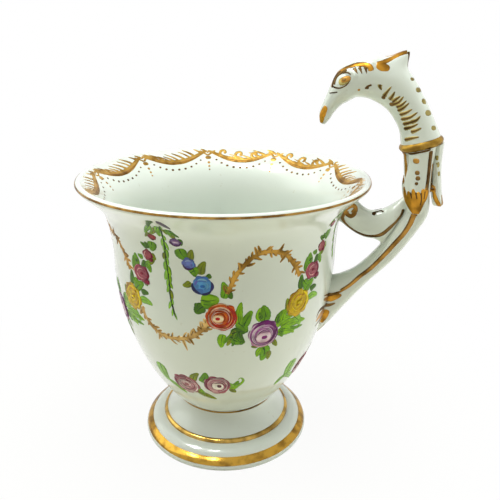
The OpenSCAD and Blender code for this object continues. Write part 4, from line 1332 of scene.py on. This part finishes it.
# Feathers of a festoon: how many, ranges of their length and width, and their lean in degrees per millimetre
LONG_FEATHERS, SHORT_FEATHERS = (11, (2.6, 4.4), (1.0, 1.4), 2.0), (9, (1.3, 2.5), (0.9, 1.4), 4.0)
# Turns of the first and last feather, how far inside the band they start, and how near the lip they may end
FEATHERS_FROM, FEATHERS_TO, FEATHER_ROOT, FEATHER_STOP = -17.0, 12.0, 0.2, 0.15
# How unevenly they are set, in degrees, and the share of the lean at the middle of their length
FEATHER_SHIFT, FEATHER_BEND = 0.6, 0.4
# Layers of what lies over the band
BOW_LAYER, FEATHER_LAYER, DROP_LAYER, CURL_LAYER, SHADE_LAYER = 0.2, 0.3, 0.4, 0.6, 1.1
# Width of the band, and the share of it at the cusps
FESTOON_W, FESTOON_CUSP = 2.5, 0.35
# Scrolls on a back festoon: turn and size of each; a scroll's points in degrees and millimetres
BACK_CURLS = ((-7.5, 0.75), (0.5, 1.0), (9.0, 0.85))
CURL, CURL_W = ((0, 0), (1.9, 0.4), (2.9, 1.5), (2.1, 2.8), (0.3, 2.9), (-0.3, 2.0), (0.7, 1.5)), 1.0

# A pendant at each cusp: a bow of two strokes, a drop (half width, half height), and dots (down and radius),
# which are a little longer than wide
BOW, BOW_W = ((4.2, 0.9), (2.0, 1.9), (-0.2, 3.1)), 0.8
DROP_DOWN, DROP_SIZE = 3.9, (1.0, 0.75)
PENDANT_DOTS, PENDANT_DOT_LONG = ((1.6, 0.42), (5.9, 0.5), (7.3, 0.4), (8.5, 0.3)), 1.1
# A dark line along the lower edge of the band
FESTOON_SHADE = both_ways(((-13.5, 2.9), (-9.5, 4.2), (-5.0, 5.1), (0, 5.45)))
FESTOON_SHADE_W = 0.9

lip_wall = Wall("inside_line", bowl_inside[::-1])


def lip_spot(middle, turn, down):
    return np.array([math.radians(middle + turn), down])


def festoon_down(turn):
    return np.interp(turn, [p[0] for p in FESTOON_LINE], [p[1] for p in FESTOON_LINE])


def festoon_shape(t):
    return FESTOON_CUSP + (1 - FESTOON_CUSP) * math.sin(math.pi * t)


def paint_festoons(name, middle, repeats, lean_way, feathers, curls=()):
    """Some of the festoons: a scalloped band whose feathers lean one way, and a pendant at its first cusp."""
    festoon = Enamel(lip_wall)
    count, length, thick, lean = feathers

    def spot(turn, down):
        return lip_spot(middle, turn, down)

    festoon.stroke([spot(*p) for p in FESTOON_LINE], FESTOON_W, festoon_shape, steps=33)
    for k in range(count):
        even = mix(FEATHERS_FROM, FEATHERS_TO, k / (count - 1))
        turn = lean_way * (even + hand.uniform(-FEATHER_SHIFT, FEATHER_SHIFT))
        low = festoon_down(turn) - FEATHER_ROOT
        high = max(FEATHER_STOP, low - hand.uniform(*length))
        lean_by = lean_way * lean * (low - high)
        bend = spot(turn + lean_by * FEATHER_BEND, mix(low, high, 0.5))
        festoon.stroke([spot(turn, low), bend, spot(turn + lean_by, high)], hand.uniform(*thick),
                       feather_shape, layer=FEATHER_LAYER)
    for turn, size in curls:
        low = festoon_down(turn) - 2 * FEATHER_ROOT
        curl = [spot(turn + size * right, low - size * up) for right, up in CURL]
        festoon.stroke(curl, CURL_W, line_shape, layer=CURL_LAYER, steps=19)
    for way in (-1, 1):
        bow = [spot(-FESTOON_HALF + way * right, down) for right, down in BOW]
        festoon.stroke(bow, BOW_W, line_shape, layer=BOW_LAYER)
    festoon.dab(spot(-FESTOON_HALF, DROP_DOWN), *DROP_SIZE, layer=DROP_LAYER, lanes=5)
    for down, r in PENDANT_DOTS:
        festoon.dab(spot(-FESTOON_HALF, down), r, r * PENDANT_DOT_LONG, steps=7, lanes=5)
    paint_wall(festoon, name, festoon_gold, "gilding", repeats, FESTOON_PITCH)


shade = Enamel(lip_wall)
shade_line = [lip_spot(FESTOON_TURN, *p) for p in FESTOON_SHADE]
shade.stroke(shade_line, FESTOON_SHADE_W, arc_shape, layer=SHADE_LAYER, steps=25)
paint_wall(shade, "festoon_shade", brown_gold, "gilding", LIP_FESTOONS, FESTOON_PITCH)
dots = Enamel(lip_wall)
for turn, down, r in FESTOON_DOTS:
    dots.dab(lip_spot(FESTOON_TURN, turn, down), r, r, steps=7, lanes=5)
paint_wall(dots, "lip_dots", dark_gold, "gilding", LIP_FESTOONS, FESTOON_PITCH)
paint_festoons("back_festoons", FESTOON_TURN - 2 * FESTOON_PITCH, 2, 1, SHORT_FEATHERS, BACK_CURLS)
paint_festoons("left_festoons", FESTOON_TURN, 3, 1, LONG_FEATHERS)
paint_festoons("front_festoons", FESTOON_TURN + 3 * FESTOON_PITCH, 5, -1, LONG_FEATHERS)

for wall in (outside, lip_wall):
    bpy.data.objects.remove(wall.line)

# Gold on the handle. A mark is x and height in side view, or x, y and height on the near side, in millimetres
FEATHERS = (
    ((39.9, 105.6), (39.9, 105.0), (40.4, 104.2)), ((41.1, 102.6), (41.5, 103.5), (42.7, 105.2)),
    ((42.5, 101.8), (43.0, 102.7), (43.6, 104.0)), ((43.2, 100.8), (44.7, 101.4), (45.8, 102.9)),
    ((44.6, 99.3), (45.9, 100.0), (47.3, 101.4)), ((43.2, 101.3), (44.0, 102.1), (45.0, 102.9)),
    ((45.6, 97.2), (47.7, 97.8), (49.6, 99.2)), ((48.0, 96.6), (49.4, 97.2), (50.3, 98.3)),
    ((46.6, 94.8), (48.4, 95.5), (50.0, 96.4)), ((48.3, 94.2), (49.6, 94.7), (50.9, 95.4)),
    ((47.1, 92.0), (48.7, 92.7), (50.6, 93.2)), ((45.2, 98.3), (46.7, 98.9), (48.2, 99.9)),
    ((44.2, 100.2), (45.4, 100.7), (46.6, 101.9)), ((46.2, 96.0), (48.0, 96.6), (49.4, 97.4)))
# Coats of a feather: paint, width and layer
FEATHER_COATS = (("olive", 1.7, 0), ("dark", 0.95, 0.6), ("umber", 0.55, 1.3))
# Dots: paint, x, height and radius
HANDLE_DOTS = (
    ("dark", 41.0, 102.4, 0.5), ("dark", 43.1, 100.8, 0.55), ("olive", 47.6, 106.8, 0.5),
    ("olive", 49.3, 104.3, 0.7), ("olive", 51.1, 101.6, 0.8), ("olive", 52.2, 98.9, 0.8),
    ("olive", 53.9, 95.3, 0.65), ("gold", 34.9, 104.1, 0.35), ("brown", 50.4, 87.1, 0.8),
    ("dark", 51.0, 84.1, 0.6), ("dark", 51.3, 82.7, 0.6), ("umber", 51.1, 81.3, 0.42),
    ("umber", 41.3, 71.9, 0.55), ("umber", 36.9, 104.7, 0.4))
LASH_W, LASH_LAYER = 1.0, 0.6
LASHES = ((33.3, 109.3, 34.3, 107.9), (34.6, 109.6, 35.4, 107.9), (36.0, 109.7, 36.5, 108.0))
# Lines: paint, width at the start and at the end, then the points
HANDLE_LINES = (
    ("gold", 1.3, 1.6, (28.4, -2.2, 104.5), (28.3, -1.4, 105.8), (29.0, -1.3, 107.4), (30.4, -2.4, 108.7),
     (32.0, -2.7, 109.5), (33.8, -3.0, 110.0), (35.6, -3.6, 110.1), (37.1, -4.1, 109.6), (37.5, -4.4, 108.6)),
    ("umber", 0.7, 0.6, (28.4, -2.4, 104.4), (28.3, -1.7, 105.8), (29.0, -1.6, 107.3), (30.2, -2.5, 108.4)),
    ("dark", 0.9, 0.6, (28.7, -2.5, 105.2), (29.1, -2.1, 106.9), (30.3, -2.8, 108.1), (31.8, -3.3, 108.6)),
    ("gold", 1.3, 1.9, (38.8, -3.7, 110.2), (39.9, -3.2, 110.5), (41.2, -2.4, 110.9), (42.4, -1.7, 111.5),
     (43.7, -1.1, 112.1), (45.0, -0.6, 112.6), (45.9, -0.3, 112.9)),
    ("dark", 0.9, 0.4, (46.1, -0.5, 113.0), (46.3, -0.6, 112.4), (46.3, -0.7, 111.3), (46.5, -0.7, 109.5)),
    ("gold", 1.2, 1.5, (54.9, -2.8, 80.1), (56.2, -2.1, 77.9), (57.3, -2.0, 75.9), (58.1, -1.4, 74.8)),
    ("gold", 1.4, 0.8, (58.1, -1.4, 74.8), (58.4, -1.8, 76.4), (58.2, -1.4, 78.0)),
    ("brown", 0.7, 1.2, (54.8, -3.2, 86.5), (54.9, -3.0, 83.5), (55.2, -2.9, 81.5), (55.9, -2.4, 78.6)),
    ("brown", 1.5, 1.3, (36.2, 72.3), (36.3, 73.6), (35.1, 74.0), (33.9, 73.2), (33.3, 72.0), (33.0, 70.8)),
    ("brown", 1.4, 1.4, (33.9, 72.5), (34.3, 71.6), (35.3, 71.2), (36.2, 72.1), (35.4, 72.9)),
    ("dark", 1.0, 1.1, (33.3, 72.0), (33.0, 70.8), (33.3, 69.6), (34.3, 68.3), (36.4, 66.8), (39.2, 65.7),
     (41.3, 65.6), (42.9, 66.0), (44.4, 67.0), (45.9, 68.6), (47.4, 70.3), (48.5, 72.0), (48.9, 73.6)),
    ("brown", 2.0, 0.6, (52.0, -3.8, 75.0), (51.8, 73.6), (51.4, 72.3), (50.7, 69.8), (49.4, 67.1),
     (47.5, 64.3), (45.6, 61.5), (43.5, 58.7), (41.5, -2.7, 56.2), (38.9, -2.8, 53.7), (36.4, -3.2, 51.1),
     (34.0, -3.6, 49.3), (32.6, -3.7, 48.3)),
    ("gold", 1.2, 1.2, (51.0, -3.3, 73.5), (51.8, -3.6, 73.4), (52.8, -3.6, 73.4)),
    ("dark", 0.5, 0.4, (50.9, 72.3), (50.2, 69.8), (48.9, 67.1), (47.1, 64.5), (45.2, 61.7), (43.1, 58.9),
     (41.1, -2.7, 56.5), (38.5, -2.8, 54.0), (36.0, -3.2, 51.4), (33.6, -3.6, 49.6)),
    ("umber", 0.3, 0.3, (27.7, 103.0), (28.6, 103.2), (29.7, 103.4)),
    ("umber", 0.36, 0.3, (28.9, -2.7, 105.0), (29.3, -2.5, 106.8), (30.5, -3.1, 107.9), (31.9, -3.8, 108.1),
     (32.7, -4.2, 107.7)),
    ("umber", 0.45, 0.22, (28.5, -2.5, 104.6), (30.1, -3.6, 104.4), (31.6, -4.3, 105.1), (32.6, -4.3, 106.3)),
    ("umber", 0.5, 0.5, (36.4, 104.4), (36.9, 105.0), (37.9, 105.4)),
    ("umber", 0.6, 0.4, (41.1, 72.0), (42.0, 72.3), (43.0, 72.6), (43.6, 73.0)),
    ("umber", 0.5, 0.6, (47.0, -1.8, 88.9), (48.5, -3.2, 88.6), (50.8, -4.8, 89.4), (52.9, -4.8, 90.0),
     (53.7, -4.3, 90.4)),
    ("brown", 1.2, 1.3, (47.0, -1.6, 88.9), (47.7, -1.3, 86.7), (48.2, -1.3, 85.0), (48.4, -1.4, 82.9),
     (48.3, -1.9, 80.8), (48.3, -2.3, 78.9)),
    ("dark", 1.2, 1.2, (53.7, -4.4, 89.9), (53.8, -4.2, 87.7), (53.9, -4.0, 84.9), (53.9, -3.9, 82.0),
     (53.8, -3.9, 79.4)),
    ("umber", 0.5, 0.4, (53.6, -4.4, 89.0), (53.6, -4.2, 86.7), (53.7, -4.1, 83.9), (53.6, -4.0, 81.0)),
    ("umber", 0.5, 0.3, (52.5, -4.3, 79.0), (52.8, -4.2, 77.0), (52.6, -4.0, 75.6)),
    ("umber", 0.5, 0.3, (51.2, -4.2, 79.0), (51.7, -4.1, 77.2)),
    ("umber", 0.4, 0.3, (53.4, -4.0, 79.4), (53.4, -4.0, 77.2)),
    ("umber", 0.4, 0.3, (49.8, -3.8, 78.8), (50.4, -3.9, 77.2)),
    ("olive", 0.6, 0.5, (30.0, -2.6, 38.2), (29.1, -2.3, 36.8), (27.9, -2.5, 35.6)),
)
# Fronds that spread from the seat on to the bowl, pointed at both ends: paint, width, then the points
SEAT_FRONDS = (
    ("gold", 1.9, (34.2, -3.6, 48.3), (32.4, -3.8, 47.4), (30.8, -4.2, 46.9), (29.9, -7.6, 48.3),
     (29.5, -9.4, 49.1)),
    ("dark", 0.8, (33.7, -3.6, 49.2), (31.4, -3.8, 48.2), (30.0, -7.0, 49.4), (29.4, -9.8, 50.4)),
    ("dark", 1.2, (32.6, -3.7, 45.6), (30.6, -4.1, 44.9), (29.6, -7.0, 45.7), (28.8, -10.0, 46.4),
     (28.3, -11.4, 45.8), (28.0, -11.8, 44.4)),
    ("gold", 3.0, (30.6, -4.0, 43.4), (29.7, -4.1, 41.6), (29.2, -3.9, 40.0), (28.7, -3.2, 38.4)),
    ("gold", 3.0, (29.9, -4.6, 43.4), (29.1, -7.2, 43.9), (28.5, -9.6, 43.9), (27.9, -11.4, 43.0)),
    ("dark", 0.7, (29.6, -4.8, 41.6), (28.9, -7.0, 41.9), (28.4, -9.2, 41.7), (27.9, -10.8, 41.2)),
)
# The eye, from the shade of its ball to the pupil: paint, layer, width, then the points
EYE = (
    ("olive", 0.4, 2.3, (29.9, -3.5, 105.6), (31.1, -4.1, 106.2), (32.6, -4.3, 106.9)),
    ("brown", 1.7, 1.6, (30.4, -3.9, 106.1), (31.5, -4.2, 106.6), (32.7, -4.3, 107.0)),
    ("dark", 2.9, 0.9, (30.6, -4.0, 106.3), (31.1, -4.2, 106.5), (31.6, -4.2, 106.7)))
# Rounded dabs: paint, width, then the points
HANDLE_DABS = (
    ("gold", 2.3, (38.6, -3.9, 109.9), (39.7, -3.8, 109.7), (40.7, -3.7, 109.5), (41.9, -3.6, 109.1)),
    ("gold", 2.2, (27.0, -1.8, 99.8), (26.4, -1.6, 98.4), (25.9, -1.2, 96.9), (25.9, -0.8, 95.2)),
    ("olive", 1.2, (55.4, -2.8, 88.4), (55.8, -2.7, 87.2)),
    ("olive", 1.2, (55.9, -2.6, 86.6), (56.2, -2.5, 85.4)),
    ("olive", 1.1, (56.5, -2.4, 84.3), (56.8, -2.3, 83.1)))
# The side leaf's gilt tip: a wedge and flame-shaped strokes over it
LEAF_WEDGE_W, LEAF_WEDGE = 4.8, ((51.3, 77.6), (51.3, 76.4), (51.5, 75.2), (51.9, 73.4))
FLAME_W, FLAME_LAYER, FLAME_STEP = 2.2, 0.3, 0.08
LEAF_FLAMES = (
    ((48.5, -2.4, 79.6), (49.1, -2.6, 76.6), (50.3, -3.5, 74.7), (51.7, -3.7, 73.2)),
    ((49.4, -3.4, 79.1), (50.0, -3.6, 76.6), (50.9, -3.8, 74.8), (51.8, -3.7, 73.2)),
    ((50.4, -4.1, 79.8), (51.1, -4.1, 76.9), (51.6, -4.0, 74.9), (51.9, -3.7, 73.2)),
    ((51.7, -4.4, 79.2), (52.2, -4.3, 77.0), (52.2, -4.0, 75.0), (52.1, -3.7, 73.2)),
    ((52.8, -4.3, 80.0), (53.2, -4.2, 77.5), (52.8, -4.1, 75.5), (52.2, -3.7, 73.3)),
    ((53.8, -4.0, 80.4), (53.8, -3.9, 78.3), (53.4, -4.0, 76.5)))
CREST_RIDGE_W, CREST_RIDGE = 1.8, (40.6, 41.8, 43.0, 44.0, 44.8, 45.3)
# Paints of the handle: look and layer
HANDLE_PAINTS = {"gold": (deep_gold, 0.3), "brown": (brown_gold, 0.25), "dark": (dark_gold, 0.8),
                 "umber": (umber, 1.5), "olive": (olive_gold, 0.4)}
handle_skin = Skin([bowl, stem, scroll, near_leaf, far_leaf, back_leaf, throat_leaf, collar, bird])
handle_paint = {paint: Enamel(handle_skin) for paint in HANDLE_PAINTS}


def paint_handle(side):
    """All marks of one side: -1 is the near side, 1 the far side, which mirrors it."""

    def mark(point):
        return handle_skin.spot(*point, side) if len(point) == 2 else np.array(point) * (1, -side, 1) * MM

    def stroke(paint, points, width, shape, layer=None, steps=9, lanes=5):
        layer = HANDLE_PAINTS[paint][1] if layer is None else layer
        marks = [mark(p) for p in points]
        handle_paint[paint].stroke(marks, width, shape, layer=layer, steps=steps, lanes=lanes)

    for feather in FEATHERS:
        for paint, width, layer in FEATHER_COATS:
            stroke(paint, feather, width, feather_shape, layer)
    for paint, x, z, r in HANDLE_DOTS:
        stroke(paint, [(x - r, z), (x, z), (x + r, z)], 2 * r, round_shape)
    for paint, start_w, end_w, *line in HANDLE_LINES:
        stroke(paint, line, 1.0, lambda t: mix(start_w, end_w, t) * blunt_shape(t), steps=5 * len(line) + 4)
    for paint, layer, width, *line in EYE:
        stroke(paint, line, width, round_shape, layer, steps=25, lanes=7)
    for x0, z0, x1, z1 in LASHES:
        stroke("dark", [(x0, z0), (x1, z1)], LASH_W, comma_shape, LASH_LAYER, steps=7)
    for shape, strokes in ((round_shape, HANDLE_DABS), (leaf_shape, SEAT_FRONDS)):
        for paint, width, *line in strokes:
            stroke(paint, line, width, shape, steps=25, lanes=7)
    stroke("gold", LEAF_WEDGE, LEAF_WEDGE_W, wedge_shape, layer=0, steps=17, lanes=11)
    for number, flame in enumerate(LEAF_FLAMES):
        stroke("gold", flame, FLAME_W, flame_shape, FLAME_LAYER + FLAME_STEP * number, steps=17, lanes=7)


for side in (-1, 1):
    paint_handle(side)
ridge = [handle_skin.top(x) for x in CREST_RIDGE]
handle_paint["gold"].stroke(ridge, CREST_RIDGE_W, blunt_shape, steps=21, lanes=7)
for paint, enamel in handle_paint.items():
    adopt(enamel.mesh("handle_" + paint, HANDLE_PAINTS[paint][0]), "gilding")

# Stage: camera, floor and light

CAMERA_AT = Vector((32.38, -152.35, 116.45)) * MM
CAMERA_HEADING, CAMERA_DOWN, CAMERA_ROLL = 9.33, 20.573, 0.5
CAMERA_LENS, CAMERA_SENSOR, CAMERA_CLIP = 41.13, 36.0, (0.01, 20.0)

lens = bpy.data.cameras.new("camera")
lens.lens, lens.sensor_width = CAMERA_LENS, CAMERA_SENSOR
lens.clip_start, lens.clip_end = CAMERA_CLIP
camera = placed("camera", lens)
camera.matrix_world = (Matrix.Translation(CAMERA_AT) @ Matrix.Rotation(math.radians(CAMERA_HEADING), 4, "Z")
                       @ Matrix.Rotation(math.radians(90 - CAMERA_DOWN), 4, "X")
                       @ Matrix.Rotation(math.radians(CAMERA_ROLL), 4, "Z"))
bpy.context.scene.camera = camera


def direct_rays(graph):
    """1 for rays that show the background: from the camera, off gloss and through glass."""
    rays = graph.node("ShaderNodeLightPath").socket.node
    shown = Field(graph, rays.outputs["Is Camera Ray"]) + Field(graph, rays.outputs["Is Glossy Ray"])
    both = shown + Field(graph, rays.outputs["Is Transmission Ray"])
    return graph.node("ShaderNodeMath", {"operation": "MINIMUM"}, {0: both, 1: 1.0})


# The floor shows its shadow near the cup and runs out to plain white
SHADOW_NEAR, SHADOW_FAR, SHADOW_SHOWN = 0.03, 0.12, 0.94
FLOOR_HALF, FLOOR_PAPER = 3.0, (0.77, 0.748, 0.617, 1)


def make_floor():
    material = bpy.data.materials.new("white floor")
    material.use_nodes = True
    graph = Graph(material.node_tree)
    graph.tree.nodes.clear()
    paper = graph.node("ShaderNodeBsdfDiffuse", None, {"Color": FLOOR_PAPER})
    white = graph.node("ShaderNodeEmission", None, {"Color": (1, 1, 1, 1), "Strength": 1.0})
    place = graph.node("ShaderNodeTexCoord", out="Object")
    away = graph.node("ShaderNodeVectorMath", {"operation": "LENGTH"}, {0: place}, out="Value")
    clean = away.between(SHADOW_NEAR, SHADOW_FAR, SHADOW_SHOWN, 1.0)
    both = graph.node("ShaderNodeMixShader", None, {0: direct_rays(graph) * clean, 1: paper, 2: white})
    end = graph.tree.nodes.new("ShaderNodeOutputMaterial")
    graph.tree.links.new(both.socket, end.inputs["Surface"])
    mesh = bpy.data.meshes.new("floor")
    corners = [(x * FLOOR_HALF, y * FLOOR_HALF, 0) for x, y in ((-1, -1), (1, -1), (1, 1), (-1, 1))]
    mesh.from_pydata(corners, [], [[0, 1, 2, 3]])
    mesh.materials.append(material)
    placed("floor", mesh)


# Dim warm light of the room, behind the camera and all round
ROOM_LIGHT = (0.07, 0.065, 0.039, 1)


def make_world():
    world = bpy.data.worlds.new("studio")
    bpy.context.scene.world = world
    world.use_nodes = True
    graph = Graph(world.node_tree)
    sky = world.node_tree.nodes["Background"]
    shown = direct_rays(graph)
    graph.tree.links.new(graph.tint(ROOM_LIGHT, (1, 1, 1, 1), shown).socket, sky.inputs["Color"])


LAMP_TINT = (0.965, 1.0, 0.96)
# Lamps: name, place, height aimed at, size, watts, whether it lights the cup, whether it shows in the gloss
LAMPS = (
    ("key", (-0.24, -0.3, 0.62), 0.05, (0.26, 0.2), 0.95, True, False),
    ("window left", (-0.31, -0.16, 0.635), 0.03, (0.17, 0.14), 1.8, False, True),
    ("window right", (-0.09, -0.23, 0.685), 0.03, (0.1, 0.14), 1.1, False, True),
    ("left", (-0.6, -0.02, 0.4), 0.05, (0.6, 0.6), 1.5, True, True),
    ("right", (0.62, 0.1, 0.2), 0.06, (0.5, 0.6), 2.35, True, False),
    ("top", (0.0, 0.0, 0.75), 0.0, (0.5, 0.5), 5.5, True, False))


def softbox(name, at, aim_z, size, power, lights, mirrored):
    """A soft lamp that faces the cup."""
    data = bpy.data.lights.new(name, "AREA")
    data.color = LAMP_TINT
    data.shape, data.size, data.size_y, data.energy = "RECTANGLE", size[0], size[1], power
    lamp = placed(name, data)
    lamp.location = Vector(at)
    lamp.rotation_euler = (Vector((0, 0, aim_z)) - Vector(at)).to_track_quat("-Z", "Y").to_euler()
    lamp.visible_diffuse, lamp.visible_glossy = lights, mirrored


make_floor()
make_world()
for lamp in LAMPS:
    softbox(*lamp)
bpy.context.scene.view_settings.view_transform = "Standard"
